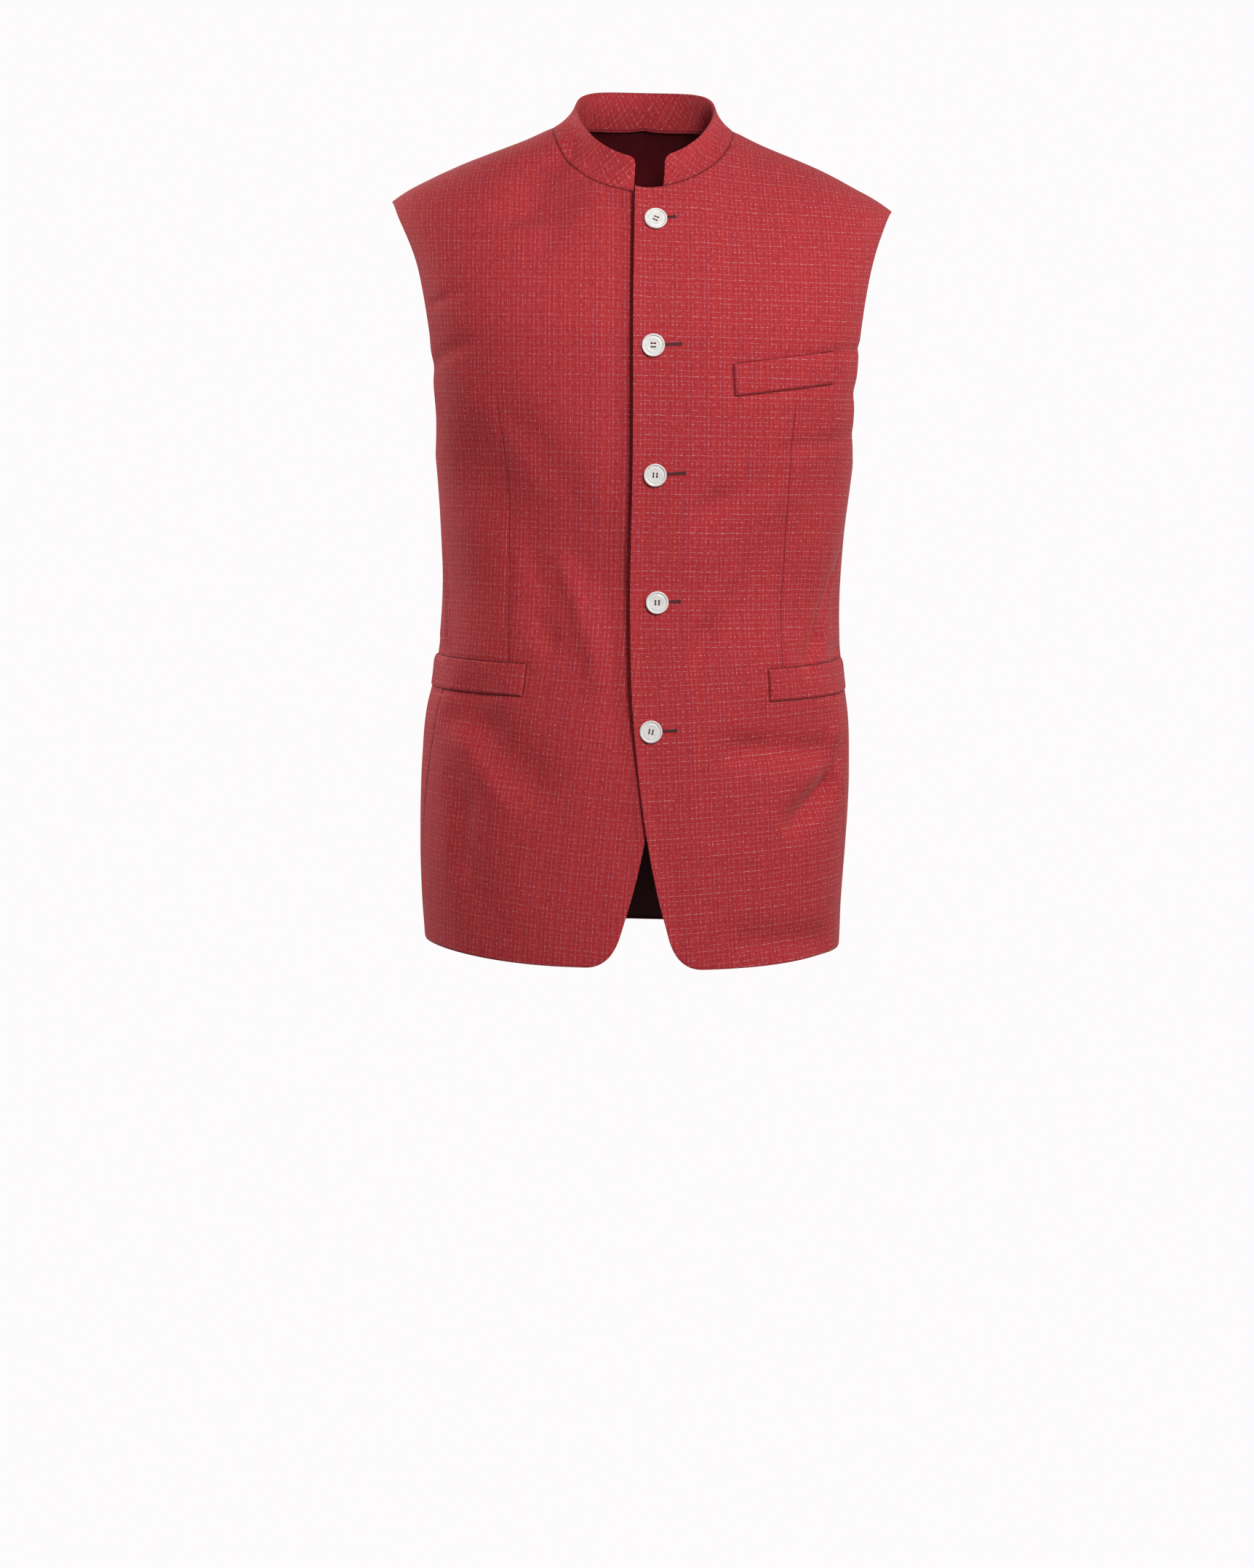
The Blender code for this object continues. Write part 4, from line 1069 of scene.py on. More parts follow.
def checked_cloth(name, warp_strength, weft_strength):
    """Yarn-dyed cotton and wool suiting: matt red with a soft bloom and a fine broken check.

    The broken lines of rose and lavender yarn make a small check that looks woven, not printed.
    The pattern reads the cloth map, which is the flat cloth in metres.
    """
    # Painted sheen: the warp and weft strengths, set apart for each piece, stand for how the light
    # catches the upright and the level yarns
    material, tree, shader = new_material(name)
    place = add(tree, "ShaderNodeUVMap", uv_map="cloth").outputs["UV"]
    colour, threads = woven_ground(tree, place)
    colour, raised = broken_check(tree, place, colour, warp_strength, weft_strength)
    # Painted shade: the cloth darkens towards maroon in the creases along the darts, the welts' edges and
    # the collar's seam
    crease = crease_shade_mask(tree)
    dark = add(tree, "ShaderNodeMath", {0: crease, 1: PAINTED_CREASE_SHADE}, operation="MULTIPLY").outputs[0]
    colour = add(tree, "ShaderNodeMix", {"Factor": dark, "A": colour, "B": CREASE_SHADE_MAROON},
                 data_type="RGBA").outputs["Result"]

    # Relief of the weave: round threads, the check's yarns a little proud, seams sunk
    height = add(tree, "ShaderNodeMath", {0: threads, 1: 0.5, 2: raised},
                 operation="MULTIPLY_ADD").outputs[0]
    height = add(tree, "ShaderNodeMath", {0: height, 1: crease}, operation="SUBTRACT").outputs[0]
    bump = add(tree, "ShaderNodeBump", {"Height": height, "Distance": 0.00022, "Strength": 0.8})
    roughness = add(tree, "ShaderNodeMapRange", {"Value": raised, "To Min": 0.88, "To Max": 0.74})
    tree.links.new(colour, shader.inputs["Base Color"])
    tree.links.new(roughness.outputs[0], shader.inputs["Roughness"])
    tree.links.new(bump.outputs[0], shader.inputs["Normal"])
    shader.inputs["Specular IOR Level"].default_value = 0.25
    shader.inputs["Sheen Weight"].default_value = 0.22
    shader.inputs["Sheen Roughness"].default_value = 0.45
    shader.inputs["Sheen Tint"].default_value = linear("#F2B8B4")
    return material


def satin_lining():
    """Maroon viscose satin lining: dark, smooth and soft in its gloss."""
    material, tree, shader = new_material("lining_satin")
    place = add(tree, "ShaderNodeUVMap", uv_map="cloth").outputs["UV"]
    threads = streaks(tree, place, SATIN_STREAKS, 2.0)
    tone = add(tree, "ShaderNodeValToRGB", {"Fac": threads})
    set_stops(tone, [(0.3, linear("#4A0F16")), (0.7, linear("#64161F"))])
    bump = add(tree, "ShaderNodeBump", {"Height": threads, "Distance": 0.00008, "Strength": 0.6})
    tree.links.new(tone.outputs[0], shader.inputs["Base Color"])
    tree.links.new(bump.outputs[0], shader.inputs["Normal"])
    shader.inputs["Roughness"].default_value = 0.42
    shader.inputs["Anisotropic"].default_value = 0.4
    return material


def polyester_button():
    """Cast white polyester buttons, tumbled: cool white, glossy, with faint clouding."""
    material, tree, shader = new_material("button_polyester")
    place = add(tree, "ShaderNodeTexCoord").outputs["Object"]
    clouds = add(tree, "ShaderNodeTexNoise", {"Vector": place, "Scale": 240.0, "Detail": 2.0})
    tone = add(tree, "ShaderNodeValToRGB", {"Fac": clouds.outputs["Fac"]})
    set_stops(tone, [(0.3, linear("#E9E8E6")), (0.7, linear("#F6F5F3"))])
    gloss = add(tree, "ShaderNodeMapRange", {"Value": clouds.outputs["Fac"], "To Min": 0.22,
                                             "To Max": 0.34})
    tree.links.new(tone.outputs[0], shader.inputs["Base Color"])
    tree.links.new(gloss.outputs[0], shader.inputs["Roughness"])
    shader.inputs["IOR"].default_value = 1.55
    shader.inputs["Subsurface Weight"].default_value = 0.08
    shader.inputs["Subsurface Radius"].default_value = (0.002, 0.002, 0.002)
    return material


def thread_and_slit_shadow(name, dark, light):
    """Spun polyester sewing thread: twisted, with a slight gloss; in near-black it is also the painted
    shadow of the buttonholes' slits.
    """
    material, tree, shader = new_material(name)
    place = add(tree, "ShaderNodeTexCoord").outputs["Object"]
    twist = add(tree, "ShaderNodeTexNoise", {"Vector": place, "Scale": 2600.0, "Detail": 1.0})
    tone = add(tree, "ShaderNodeValToRGB", {"Fac": twist.outputs["Fac"]})
    set_stops(tone, [(0.35, linear(dark)), (0.65, linear(light))])
    tree.links.new(tone.outputs[0], shader.inputs["Base Color"])
    shader.inputs["Roughness"].default_value = 0.6
    shader.inputs["Sheen Weight"].default_value = 0.15
    return material


def studio_floor():
    """Seamless white paper, lit to the white of the background."""
    material = bpy.data.materials.new("floor_paper")
    material.use_nodes = True
    tree = material.node_tree
    tree.nodes.clear()
    glow = add(tree, "ShaderNodeEmission", {"Color": PAPER_WHITE, "Strength": 1.0})
    output = add(tree, "ShaderNodeOutputMaterial")
    tree.links.new(glow.outputs[0], output.inputs["Surface"])
    return material


def place_mesh(bm, name, finishes):
    """Makes a bmesh a smooth object with its finishes."""
    mesh = bpy.data.meshes.new(name)
    bm.to_mesh(mesh)
    bm.free()
    for finish in finishes:
        mesh.materials.append(finish)
    mesh.shade_smooth()
    result = bpy.data.objects.new(name, mesh)
    bpy.context.scene.collection.objects.link(result)
    return result


def shell(name, points, flat, finishes, thickness, rounding, seams=None):
    """A wall of cloth: a fine grid moved to its points, thickened inwards, its rims rounded."""
    rows, columns = points.shape[0] - 1, points.shape[1] - 1
    bm = bmesh.new()
    bmesh.ops.create_grid(bm, x_segments=columns, y_segments=rows, size=1.0)
    result = place_mesh(bm, name, finishes)
    mesh = result.data
    start = np.empty(len(mesh.vertices) * 3)
    mesh.vertices.foreach_get("co", start)
    start = start.reshape(-1, 3)
    column_of = np.rint((start[:, 0] + 1) / 2 * columns).astype(int)
    row_of = np.rint((start[:, 1] + 1) / 2 * rows).astype(int)
    mesh.vertices.foreach_set("co", points[row_of, column_of].ravel())
    corners = np.empty(len(mesh.loops), dtype=np.int32)
    mesh.loops.foreach_get("vertex_index", corners)
    layer = mesh.uv_layers.new(name="cloth")
    layer.uv.foreach_set("vector", flat[row_of, column_of][corners].ravel())
    if seams is None:
        seams = np.broadcast_to((FAR, 0.0, FAR), points.shape)
    attribute = mesh.attributes.new("seams", "FLOAT_VECTOR", "POINT")
    attribute.data.foreach_set("vector", seams[row_of, column_of].ravel())
    mesh.update()
    wall = result.modifiers.new("wall", "SOLIDIFY")
    wall.thickness = thickness
    wall.offset = -1.0
    wall.material_offset = len(finishes) - 1
    rim = result.modifiers.new("rim", "BEVEL")
    rim.width = rounding
    rim.segments = RIM_STEPS
    rim.limit_method = "ANGLE"
    rim.angle_limit = RIM_ANGLE
    return result


def welt_corners(row=None):
    """Turn and height of a welt's inner top, outer top, outer foot and inner foot."""
    if row is None:
        x, z = (column(CHEST_WELT, CHEST_WELT_COLUMNS, name) for name in CHEST_WELT_COLUMNS)
        return np.stack(place_at(x, z), axis=1)
    size = dict(zip(HIP_WELT_COLUMNS, row))
    first = float(place_at(size["inner_x"], size["inner_top"])[0])
    last = size["side"] * math.radians(WELT_END)
    return np.array([(first, size["inner_top"]), (last, size["outer_top"]),
                     (last, size["outer_top"] - WELT_HEIGHT), (first, size["inner_top"] - WELT_HEIGHT)])


def welt_reaches(turn, height):
    """For each welt, metres outside its top, outer end, foot and inner end, below 0 on its side."""
    around = half_turns(turn)
    here = lengths(FRONT_MAP, around, height)[..., 0]
    reaches = []
    for row in (None, *HIP_WELTS):
        corners = welt_corners(row)
        across = lengths(FRONT_MAP, corners[:, 0], corners[:, 1])[:, 0]
        corners = np.stack([across, corners[:, 1]], axis=1)
        side = 1.0 if across[1] > across[0] else -1.0
        edges = []
        for start, end in zip(corners, np.roll(corners, -1, axis=0)):
            way = (end - start) / np.linalg.norm(end - start)
            edges.append(side * ((height - start[1]) * way[0] - (here - start[0]) * way[1]))
        reaches.append(np.stack(edges, axis=-1))
    return reaches


def seam_map(turn, height):
    """Millimetres to the dart, the dart's strength, and millimetres to the nearest welt's edge."""
    around = half_turns(turn)
    here = lengths(FRONT_MAP, around, height)[..., 0]
    darts = [here - lengths(FRONT_MAP, dart_turn(side, height), height)[..., 0] for side in (1, -1)]
    dart = np.where(around > 0, darts[0], darts[1]) / MM
    welts = [reach.max(axis=-1) / MM for reach in welt_reaches(turn, height)]
    nearest = np.choose(np.argmin(np.abs(welts), axis=0), welts)
    return np.stack([dart, dart_strength(height), np.clip(nearest, -FAR, FAR)], axis=-1)


def welt_sink(turn, height):
    """How far the panel is drawn in along the sewn edges of the welts."""
    total = 0.0
    for reach in welt_reaches(turn, height):
        sewn = np.maximum(reach[..., 1:].max(axis=-1), 0.0)
        below_top = 1.0 - smooth_step(reach[..., 0] / WELT_TOP_FADE)
        total = total - WELT_SINK * np.exp(-(sewn / WELT_SINK_REACH) ** 2) * below_top
    return total


def panel(name, places, finishes, table):
    """One panel of cloth with its edges rolled over."""
    turn, height = places[..., 0], places[..., 1]
    on_right = name == "front_right"
    lift = left_lift(turn, height) if name == "front_left" else 0.0
    drop = rolled(edge_reach(form(turn, height))) + welt_sink(turn, height)
    points = cloth(turn, height, lift + drop, on_right)
    flat = grain(turn, height, table)
    seams = seam_map(turn, height)
    if on_right:
        points, flat, seams = points[:, ::-1], flat[:, ::-1], seams[:, ::-1]
    return shell(f"{name}_cloth", points, flat, finishes, CLOTH_SHELL, EDGE_ROUND, seams)


def collar_point(angle, up):
    """Outer face of the collar's band, up from 0 at the seam to 1 at the top edge."""
    turn, height = neckline(angle)
    on_left = (np.sin(angle) > 0) & (np.cos(angle) > 0)
    base = cloth(turn, height, np.where(on_left, lap_lift(turn, height), 0.0), np.sin(angle) < 0)
    angle = half_turns(angle)
    end = max(neck_angle(COLLAR_LEFT_END), -neck_angle(COLLAR_RIGHT_END))
    near_end = 1.0 - smooth_step((np.abs(angle) - end) / COLLAR_NARROWS_OVER)
    narrow = 1.0 + (NECK_HALF / COLLAR_TOP_HALF - 1.0) * near_end
    top_angle = np.where(np.cos(angle) > 0, angle * narrow, angle)
    depth = np.where(np.cos(top_angle) > 0, COLLAR_TOP_FRONT, COLLAR_TOP_BACK)
    rise = COLLAR_TOP_Z - COLLAR_TOP_SLOPE * np.cos(top_angle) - COLLAR_TOP_DIP * np.cos(2 * top_angle)
    x = COLLAR_TOP_CENTRE + COLLAR_TOP_HALF * np.sin(top_angle)
    top = np.stack([x, -depth * np.cos(top_angle), rise], axis=-1)
    flat = 1.0 - (1.0 - up) ** COLLAR_FLARE
    share = np.stack([flat, flat, up + 0.0 * flat], axis=-1)
    start = -COLLAR_TUCK / COLLAR_HEIGHT
    share = start + (1.0 - start) * share
    return base + (top - base) * share


def collar(finish):
    """The stand-up band, from its left end round the back of the neck to its right end."""
    first, last = neck_angle(COLLAR_LEFT_END), 2 * math.pi + neck_angle(COLLAR_RIGHT_END)
    shares = cell_shares(COLLAR_CELLS, (last - first) * NECK_RADIUS, True, True)
    angles = first + (last - first) * shares
    reach = np.minimum(angles - first, last - angles) * NECK_RADIUS
    cut = np.clip(1.0 - reach / COLLAR_CORNER, 0.0, 1.0)
    tall = 1.0 - COLLAR_CORNER / COLLAR_HEIGHT * (1.0 - np.sqrt(1.0 - cut ** 2))
    up = cell_shares(COLLAR_ROWS, COLLAR_HEIGHT, True, True)[:, None] * tall[None, :]
    angle = np.broadcast_to(angles, up.shape)
    outer = collar_point(angle, up)
    step, share = 2 * SMALL_TURN, SMALL_RISE / COLLAR_HEIGHT
    around = collar_point(angle + step, up) - collar_point(angle - step, up)
    upper = np.minimum(up + share, 1.0)
    rise = collar_point(angle, upper) - collar_point(angle, upper - 2 * share)
    normal = np.cross(around, rise)
    normal /= np.linalg.norm(normal, axis=-1, keepdims=True)
    drop = rolled(edge_reach(outer)) + unevenness(outer) * COLLAR_UNEVEN
    outer = outer + normal * drop[..., None]
    across, upward = angle * NECK_RADIUS, up * COLLAR_HEIGHT
    bias = np.stack([across * math.cos(COLLAR_GRAIN) - upward * math.sin(COLLAR_GRAIN),
                     across * math.sin(COLLAR_GRAIN) + upward * math.cos(COLLAR_GRAIN)], axis=-1)
    # Millimetres up from the collar's seam, where the painted crease shade darkens the collar's foot
    seam = (upward - COLLAR_TUCK) / MM
    seams = np.stack([np.full(up.shape, FAR), np.zeros(up.shape), seam], axis=-1)
    return shell("collar_cloth", outer, bias, [finish], COLLAR_SHELL, COLLAR_ROUND, seams)


def welt(name, turn, height, lift, finish, side):
    """A band of cloth on its panel, sewn down at its ends and foot, free along its top edge."""
    flat_points = form(turn, height)
    sewn = np.clip(1.0 - edge_reach(flat_points, ("left", "right", "bottom")) / WELT_EDGE_REACH, 0.0, 1.0)
    top = rolled(edge_reach(flat_points, ("top",)), WELT_TOP_ROLL, WELT_EDGE_REACH)
    stand = WELT_STAND + lift + (WELT_SEWN - WELT_STAND) * sewn ** 2 + top
    on_right = side < 0
    if not on_right:
        stand = stand + left_lift(turn, height)
    points = cloth(turn, height, stand, on_right)
    flat = grain(turn, height, FRONT_MAP)
    if on_right:
        points, flat = points[:, ::-1], flat[:, ::-1]
    return shell(f"{name}_cloth", points, flat, [finish], WELT_SHELL, EDGE_ROUND / 2)


def chest_welt(finish):
    """A four-cornered band that rises towards the armhole."""
    p = cell_shares(CHEST_WELT_CELLS, CHEST_WELT_RUN, True, True)[None, :]
    q = cell_shares(WELT_ROWS, WELT_HEIGHT, True, True)[:, None]
    x, z = (column(CHEST_WELT, CHEST_WELT_COLUMNS, name) for name in CHEST_WELT_COLUMNS)
    places = [
        (1 - q) * ((1 - p) * edge[3] + p * edge[2]) + q * ((1 - p) * edge[0] + p * edge[1])
        for edge in (x, z)
    ]
    turn, height = place_at(*places)
    return welt("chest_welt", turn, height, 0.0, finish, 1)


def hip_welt(row, finish):
    """From its inner end across the side seam, gaping a little towards the side."""
    size = dict(zip(HIP_WELT_COLUMNS, row))
    inner, outer = welt_corners(row)[:2]
    p = cell_shares(HIP_WELT_CELLS, HIP_WELT_RUN, True, True)[None, :]
    q = cell_shares(WELT_ROWS, WELT_HEIGHT, True, True)[:, None]
    turn = inner[0] + (outer[0] - inner[0]) * p + 0.0 * q
    height = inner[1] + (outer[1] - inner[1]) * p - WELT_HEIGHT * (1 - q)
    spread = smooth_step((p - WELT_GAPE_FROM) / (1.0 - WELT_GAPE_FROM))
    gape = WELT_GAPE * spread * q ** WELT_GAPE_CURL
    return welt(size["name"], turn, height, gape, finish, size["side"])


def button_rows():
    """Each button's row of the table, by the columns' names."""
    return [dict(zip(BUTTON_COLUMNS, row)) for row in BUTTON_PLACES]


def button_seat(row):
    """The matrix that stands a button on the left front, turned to the way its threads run."""
    turn, height = place_at(row["x"], row["z"])
    facing = outward(turn, height)
    lift = lap_lift(turn, height) + BUTTON_CLEARANCE
    seat = Matrix.Translation(Vector(form(turn, height) + facing * lift))
    turned = Euler((math.acos(facing[2]), 0.0, math.atan2(facing[0], -facing[1])))
    return seat @ turned.to_matrix().to_4x4() @ Matrix.Rotation(math.radians(row["threads"]), 4, "Z")


def button_blank(finish):
    """A turned button with a raised rim, a groove inside it and four thread holes."""
    radii, heights = np.array(BUTTON_SECTION).T
    reach = np.concatenate([[0.0], np.cumsum(np.hypot(np.diff(radii), np.diff(heights)))])
    fine = np.linspace(0.0, reach[-1], BUTTON_SECTION_STEPS + 1)
    radii, heights = smooth_through(reach, radii, fine), smooth_through(reach, heights, fine)
    bm = bmesh.new()
    verts = [bm.verts.new((radius, 0.0, z)) for radius, z in zip(np.maximum(radii, 0.0), heights)]
    edges = [bm.edges.new(pair) for pair in zip(verts, verts[1:])]
    bmesh.ops.spin(bm, geom=verts + edges, axis=(0, 0, 1), cent=(0, 0, 0), angle=2 * math.pi,
                   steps=BUTTON_STEPS, use_merge=True)
    bmesh.ops.remove_doubles(bm, verts=bm.verts[:], dist=BUTTON_MERGE)
    bmesh.ops.recalc_face_normals(bm, faces=bm.faces[:])
    blank = place_mesh(bm, "button_blank", [finish])
    bm = bmesh.new()
    for x in (-1, 1):
        for y in (-1, 1):
            post = bmesh.ops.create_cone(bm, cap_ends=True, segments=BUTTON_HOLE_SIDES,
                                         radius1=BUTTON_HOLE, radius2=BUTTON_HOLE,
                                         depth=BUTTON_HOLE_DEPTH)
            offset = (x * BUTTON_HOLE_SPACING, y * BUTTON_HOLE_SPACING, 0.0)
            bmesh.ops.translate(bm, verts=post["verts"], vec=offset)
    posts = place_mesh(bm, "button_posts", [finish])
    holes = blank.modifiers.new("holes", "BOOLEAN")
    holes.operation = "DIFFERENCE"
    holes.object = posts
    mesh = bpy.data.meshes.new_from_object(blank.evaluated_get(bpy.context.evaluated_depsgraph_get()))
    for item in (blank, posts):
        bpy.data.objects.remove(item)
    return mesh


def buttons(finish):
    """Five buttons, each turned so that its threads run as they were sewn."""
    blank = button_blank(finish)
    made = []
    for number, row in enumerate(button_rows(), start=1):
        mesh = blank.copy()
        mesh.name = f"white_button_{number}"
        mesh.transform(button_seat(row))
        mesh.set_sharp_from_angle(angle=BUTTON_SHARP)
        button = bpy.data.objects.new(mesh.name, mesh)
        bpy.context.scene.collection.objects.link(button)
        made.append(button)
    return made


def bead():
    """A small round bead, which is stretched into every stitch."""
    bm = bmesh.new()
    bmesh.ops.create_uvsphere(bm, u_segments=BEAD_SIDES, v_segments=BEAD_RINGS, radius=1.0)
    mesh = bpy.data.meshes.new("bead")
    bm.to_mesh(mesh)
    bm.free()
    return mesh


BEAD = bead()


def strand(bm, centre, way, up, length, width, thick):
    """One stitch or bar of thread: a long round bead lying along a direction."""
    way, up = Vector(way).normalized(), Vector(up).normalized()
    across = up.cross(way).normalized()
    turned = Matrix((way, across, way.cross(across))).transposed().to_4x4()
    sized = Matrix.Diagonal((length / 2, width / 2, thick / 2, 1.0))
    stretched = BEAD.copy()
    stretched.transform(Matrix.Translation(Vector(centre)) @ turned @ sized)
    bm.from_mesh(stretched)
    bpy.data.meshes.remove(stretched)


def button_threads(finish):
    """Two bars of thread over the face of each button."""
    bm = bmesh.new()
    level = BUTTON_SECTION[0][1] - THREAD_HEIGHT * THREAD_SUNK
    for row in button_rows():
        seat = button_seat(row)
        turned = seat.to_3x3()
        for side in (-1, 1):
            centre = seat @ Vector((0.0, side * BUTTON_HOLE_SPACING, level))
            strand(bm, centre, turned @ Vector((1, 0, 0)), turned @ Vector((0, 0, 1)),
                   THREAD_LENGTH, THREAD_WIDTH, THREAD_HEIGHT)
    return place_mesh(bm, "button_threads", [finish])


def left_surface(x, z, lift):
    """Points just outside the left front at places given by x and z."""
    turn, height = place_at(x, z)
    return cloth(turn, height, left_lift(turn, height) + lift)


def buttonhole_run(row):
    """Start and end of a buttonhole's slit, the way it runs and the way across it, as x and z."""
    centre, end = np.array((row["x"], row["z"])), np.array((row["hole_x"], row["hole_z"]))
    way = (end - centre) / np.linalg.norm(end - centre)
    return centre + way * SLIT_START, end, way, np.array((-way[1], way[0]))


def slit_half(reach):
    """Half the slit's width at a distance before its far end, where it opens to a round eye."""
    eye = SLIT_EYE ** 2 - (reach - SLIT_EYE) ** 2
    return np.maximum(np.sqrt(np.maximum(eye, 0.0)), np.where(reach > SLIT_EYE, SLIT_HALF, 0.0))


def add_slit_shadow(bm, start, end, side_way):
    """A slit's near-black strip of painted shadow, as a grid whose cells crowd round its eye."""
    length = np.linalg.norm(end - start)
    eye = SLIT_EYE_REACH / length
    crowded = (1.0 - np.linspace(0, 1, SLIT_EYE_STEPS)[1:]) ** SLIT_EYE_CROWD
    shares = np.concatenate([np.linspace(0.0, 1.0 - eye, SLIT_STEPS), 1.0 - eye * crowded])
    half = slit_half((1.0 - shares) * length)
    spread = np.linspace(-1.0, 1.0, SLIT_ROWS + 1)[:, None] * half[None, :]
    places = start + (end - start) * shares[:, None] + side_way * spread[..., None]
    points = left_surface(places[..., 0], places[..., 1], SLIT_LIFT)
    columns = len(shares) - 1
    grid = bmesh.ops.create_grid(bm, x_segments=columns, y_segments=SLIT_ROWS, size=1.0)
    for vert in grid["verts"]:
        column_of = round((vert.co.x + 1) / 2 * columns)
        row_of = round((vert.co.y + 1) / 2 * SLIT_ROWS)
        vert.co = points[row_of, column_of]


def slit_stitches(start, end, way, side_way):
    """Middles of the stitches up both sides of a slit and round its eye, and the ways they point."""
    count = int((np.linalg.norm(end - start) - SLIT_EYE) / STITCH_PITCH)
    places, outs = [], []
    for k in range(count):
        for out in (-side_way, side_way):
            places.append(start + way * (k * STITCH_PITCH) + out * SLIT_HALF)
            outs.append(out)
    for angle in np.radians(np.linspace(-EYE_TURN, EYE_TURN, EYE_STITCHES)):
        out = way * math.cos(angle) + side_way * math.sin(angle)
        places.append(end - way * SLIT_EYE + out * SLIT_EYE)
        outs.append(out)
    return np.array(places) + np.array(outs) * STITCH_LENGTH * STITCH_OUT, np.array(outs)


def buttonholes(thread, dark):
    """Slits of painted shadow edged with close stitches, which run round the eye at the far end."""
    stitches, slit_shadows = bmesh.new(), bmesh.new()
    for row in button_rows():
        start, end, way, side_way = buttonhole_run(row)
        add_slit_shadow(slit_shadows, start, end, side_way)
        centres, outs = slit_stitches(start, end, way, side_way)
        ends = centres + outs * MM
        here = left_surface(centres[:, 0], centres[:, 1], STITCH_THICK * STITCH_SUNK)
        there = left_surface(ends[:, 0], ends[:, 1], STITCH_THICK * STITCH_SUNK)
        facing = outward(*place_at(centres[:, 0], centres[:, 1]))
        for centre, ahead, up in zip(here, there, facing):
            strand(stitches, centre, ahead - centre, up, STITCH_LENGTH, STITCH_WIDTH, STITCH_THICK)
    slit_shadows.normal_update()
    bmesh.ops.solidify(slit_shadows, geom=slit_shadows.faces[:], thickness=-SLIT_THICK)
    return (place_mesh(stitches, "buttonhole_stitches", [thread]),
            place_mesh(slit_shadows, "buttonhole_slit_shadows", [dark]))


def prick_row(bm, start, end, lift, on_right):
    """A row of short stitches between two places on the cloth."""
    length = math.hypot((end[0] - start[0]) * FORM_RADIUS, end[1] - start[1])
    shares = np.arange(PRICK_PITCH / 2, length - PRICK_PITCH / 2, PRICK_PITCH) / length
    here = start + (end - start) * shares[:, None]
    ahead = start + (end - start) * (shares[:, None] + MM / length)
    extra = 0.0 if on_right else left_lift(here[:, 0], here[:, 1])
    centres = cloth(here[:, 0], here[:, 1], lift + extra, on_right)
    fronts = cloth(ahead[:, 0], ahead[:, 1], lift + extra, on_right)
    for centre, front, up in zip(centres, fronts, outward(here[:, 0], here[:, 1])):
        strand(bm, centre, front - centre, up, PRICK_LENGTH, PRICK_WIDTH, PRICK_WIDTH)


def welt_stitches(finish):
    """Prick stitches just inside the welts' inner ends and feet."""
    bm = bmesh.new()
    for row in (None, *HIP_WELTS):
        outline = welt_corners(row)
        side = np.sign(outline[1, 0] - outline[0, 0])
        aside, up = side * PRICK_INSET / FORM_RADIUS, PRICK_INSET
        inset = outline + np.array([(aside, 0.0), (-aside, 0.0), (-aside, up), (aside, up)])
        for start, end in ((inset[0], inset[3]), (inset[3], inset[2])):
            prick_row(bm, start, end, WELT_STAND - PRICK_SINK, side < 0)
    return place_mesh(bm, "welt_stitches", [finish])


# Camera: focal length for a frame 36 mm high, place, tilt down and roll
CAMERA_LENS = 78.6
CAMERA_PLACE = (-0.0085, -3.2, -0.262)
CAMERA_TILT = math.radians(6.28)
CAMERA_ROLL = math.radians(1.2)
FLOOR_Z = -1.45
FLOOR_HALF = 30.0


def set_camera():
    """A long lens at the height of the chest, tilted down."""
    data = bpy.data.cameras.new("camera")
    data.lens = CAMERA_LENS
    data.sensor_width = 36.0
    data.clip_end = 200.0
    camera = bpy.data.objects.new("camera", data)
    right = Vector((1.0, 0.0, 0.0))
    up = Vector((0.0, math.sin(CAMERA_TILT), math.cos(CAMERA_TILT)))
    ahead = Vector((0.0, math.cos(CAMERA_TILT), -math.sin(CAMERA_TILT)))
    rolled_right = right * math.cos(CAMERA_ROLL) + up * math.sin(CAMERA_ROLL)
    rolled_up = up * math.cos(CAMERA_ROLL) - right * math.sin(CAMERA_ROLL)
    turned = Matrix((rolled_right, rolled_up, -ahead)).transposed().to_4x4()
    camera.matrix_world = Matrix.Translation(Vector(CAMERA_PLACE)) @ turned
    bpy.context.scene.collection.objects.link(camera)
    bpy.context.scene.camera = camera


# Lights: place, what they aim at, size, power and colour
LIGHT_COLUMNS = ("name", "place", "aim", "size", "watts", "colour")
LIGHTS = (
    ("key", (0.74, -2.03, 0.76), (0.0, 0.0, -0.36), 0.5, 39.0, "#FFFDFB"),
    ("side", (2.3, -1.3, -0.15), (0.0, 0.0, -0.40), 0.5, 11.0, "#FFFDFB"),
    ("fill", (-1.7, -2.4, 0.0), (0.0, 0.0, -0.45), 1.2, 7.0, "#FFF6F6"),
    ("back_left", (-2.1, 1.0, 0.3), (0.0, 0.0, -0.40), 1.0, 44.0, "#FFFAFA"),
    ("back_right", (2.0, 1.3, 0.4), (0.0, 0.0, -0.40), 1.0, 16.0, "#FFFFFF"),
)
AMBIENT = 0.13


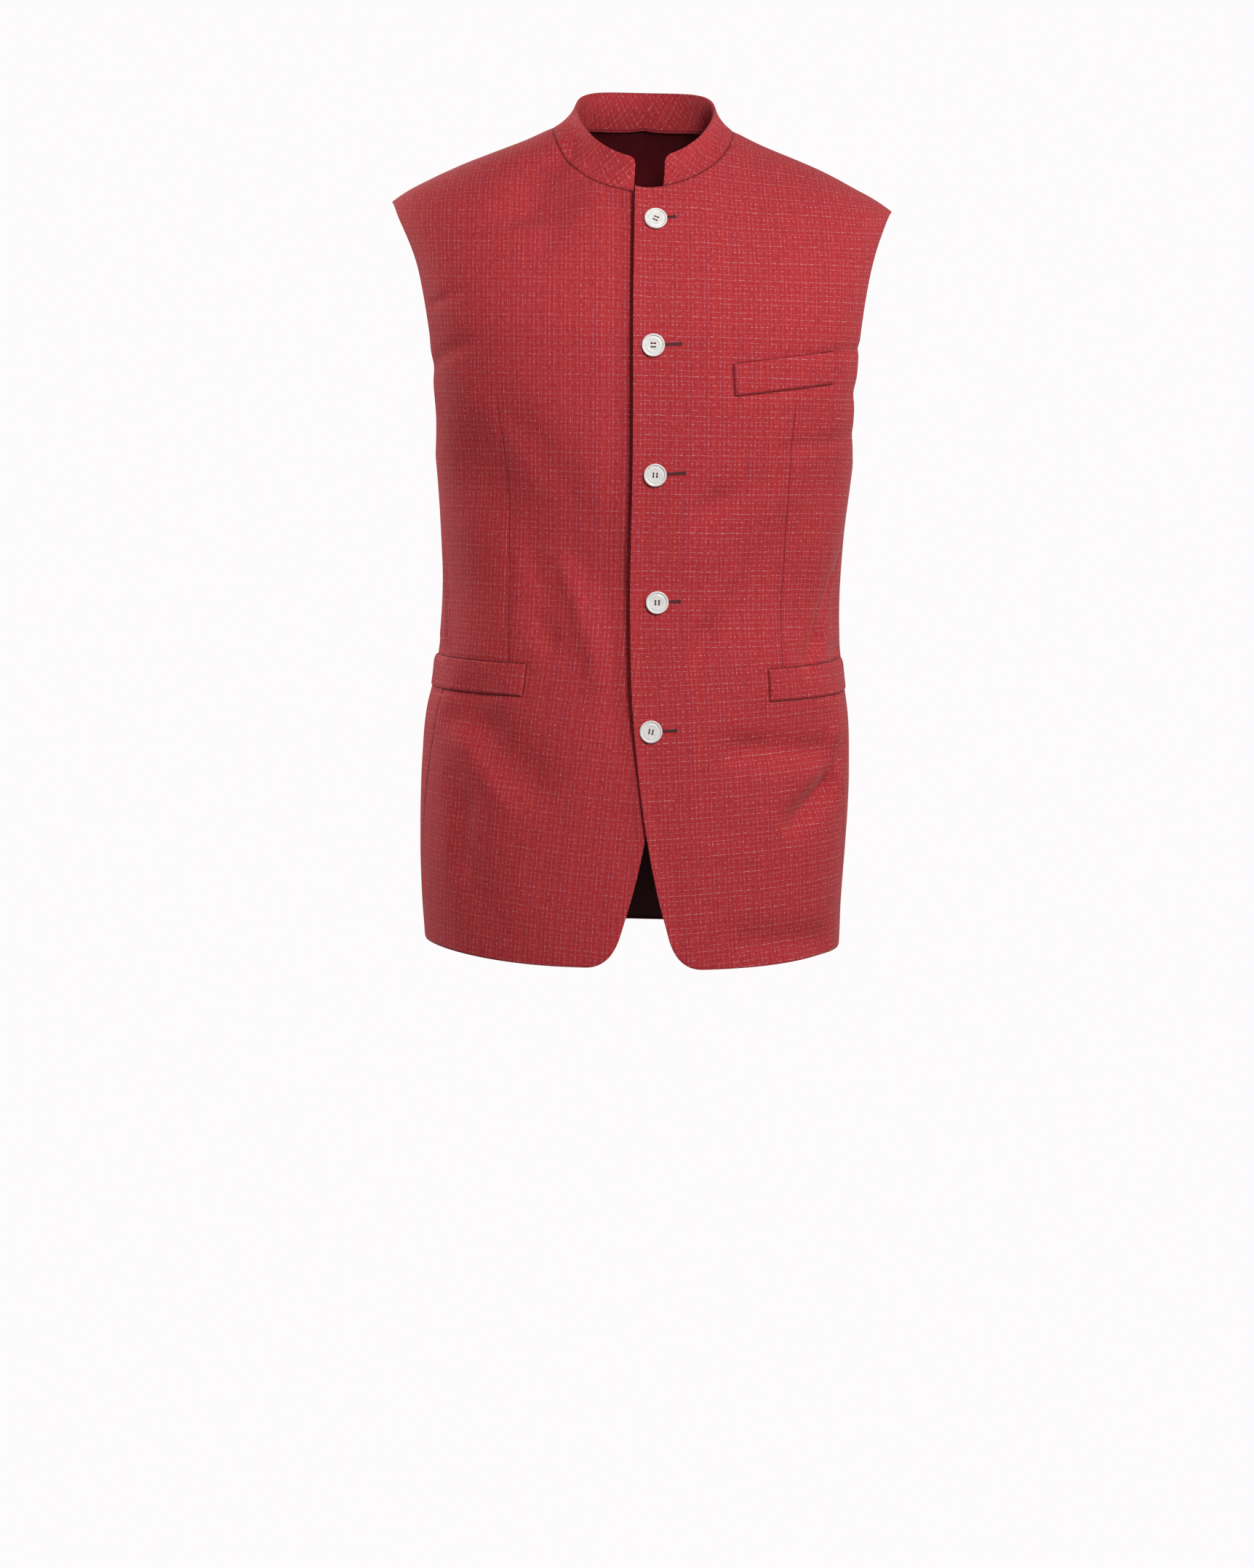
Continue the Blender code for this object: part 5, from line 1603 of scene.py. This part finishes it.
def set_lights():
    """A soft key from the upper right, a side light, a weak fill and two lights behind."""
    for row in LIGHTS:
        size = dict(zip(LIGHT_COLUMNS, row))
        data = bpy.data.lights.new(size["name"], "AREA")
        data.size = size["size"]
        data.energy = size["watts"]
        data.color = linear(size["colour"])[:3]
        light = bpy.data.objects.new(size["name"], data)
        place, aim = Vector(size["place"]), Vector(size["aim"])
        light.matrix_world = Matrix.Translation(place) @ (aim - place).to_track_quat(
            "-Z", "Y").to_matrix().to_4x4()
        bpy.context.scene.collection.objects.link(light)
    world = bpy.data.worlds.new("studio")
    world.use_nodes = True
    tree = world.node_tree
    tree.nodes.clear()
    seen = add(tree, "ShaderNodeBackground", {"Color": PAPER_WHITE, "Strength": 1.0})
    lit = add(tree, "ShaderNodeBackground", {"Color": PAPER_WHITE, "Strength": AMBIENT})
    path = add(tree, "ShaderNodeLightPath")
    mixed = add(tree, "ShaderNodeMixShader", {0: path.outputs["Is Camera Ray"], 1: lit.outputs[0],
                                              2: seen.outputs[0]})
    output = add(tree, "ShaderNodeOutputWorld")
    tree.links.new(mixed.outputs[0], output.inputs["Surface"])
    bpy.context.scene.world = world
    bpy.context.scene.view_settings.view_transform = "Standard"


def set_floor():
    """A wide white floor well below the hem, which doesn't light the jacket."""
    bm = bmesh.new()
    bmesh.ops.create_grid(bm, x_segments=1, y_segments=1, size=FLOOR_HALF)
    bmesh.ops.translate(bm, verts=bm.verts[:], vec=(0.0, 0.0, FLOOR_Z))
    floor = place_mesh(bm, "floor", [studio_floor()])
    floor.visible_diffuse = False
    floor.visible_glossy = False


def build():
    """All pieces with their finishes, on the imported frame."""
    lining = satin_lining()
    # Painted sheen: each piece's check has its own warp and weft strengths, standing for how the light
    # catches the upright yarns on one piece and the level ones on another
    fronts = {1: checked_cloth("left_front_check", 0.6, 0.85),
              -1: checked_cloth("right_front_check", 0.8, 0.45)}
    band = checked_cloth("collar_check", 0.65, 0.6)
    back = checked_cloth("back_check", 0.72, 0.75)
    pieces = {
        "front_left": panel("front_left", front_places(1), [fronts[1], lining], FRONT_MAP),
        "front_right": panel("front_right", front_places(-1), [fronts[-1], lining], FRONT_MAP),
        "back": panel("back", back_places(), [back, lining], BACK_MAP),
        "collar": collar(band),
        "chest_welt": chest_welt(fronts[1]),
    }
    for row in HIP_WELTS:
        pieces[row[0]] = hip_welt(row, fronts[row[1]])
    for name, piece in pieces.items():
        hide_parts(name)
    for number, button in enumerate(buttons(polyester_button()), start=1):
        pieces[f"button_{number}"] = button
        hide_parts(f"button_{number}")
    thread = thread_and_slit_shadow("button_thread", "#45080F", "#651019")
    sewn = [button_threads(thread)]
    # Thread for the buttonholes' stitches; the slits' near-black finish is painted shadow of their
    # openings
    sewn += buttonholes(thread_and_slit_shadow("buttonhole_thread", "#6C101A", "#8C1C26"),
                        thread_and_slit_shadow("slit_shadow", "#240308", "#32070D"))
    sewn.append(welt_stitches(thread_and_slit_shadow("prick_thread", "#6A1219", "#84202A")))
    for piece in [*pieces.values(), *sewn]:
        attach(piece, "root")


build()
set_floor()
set_lights()
set_camera()
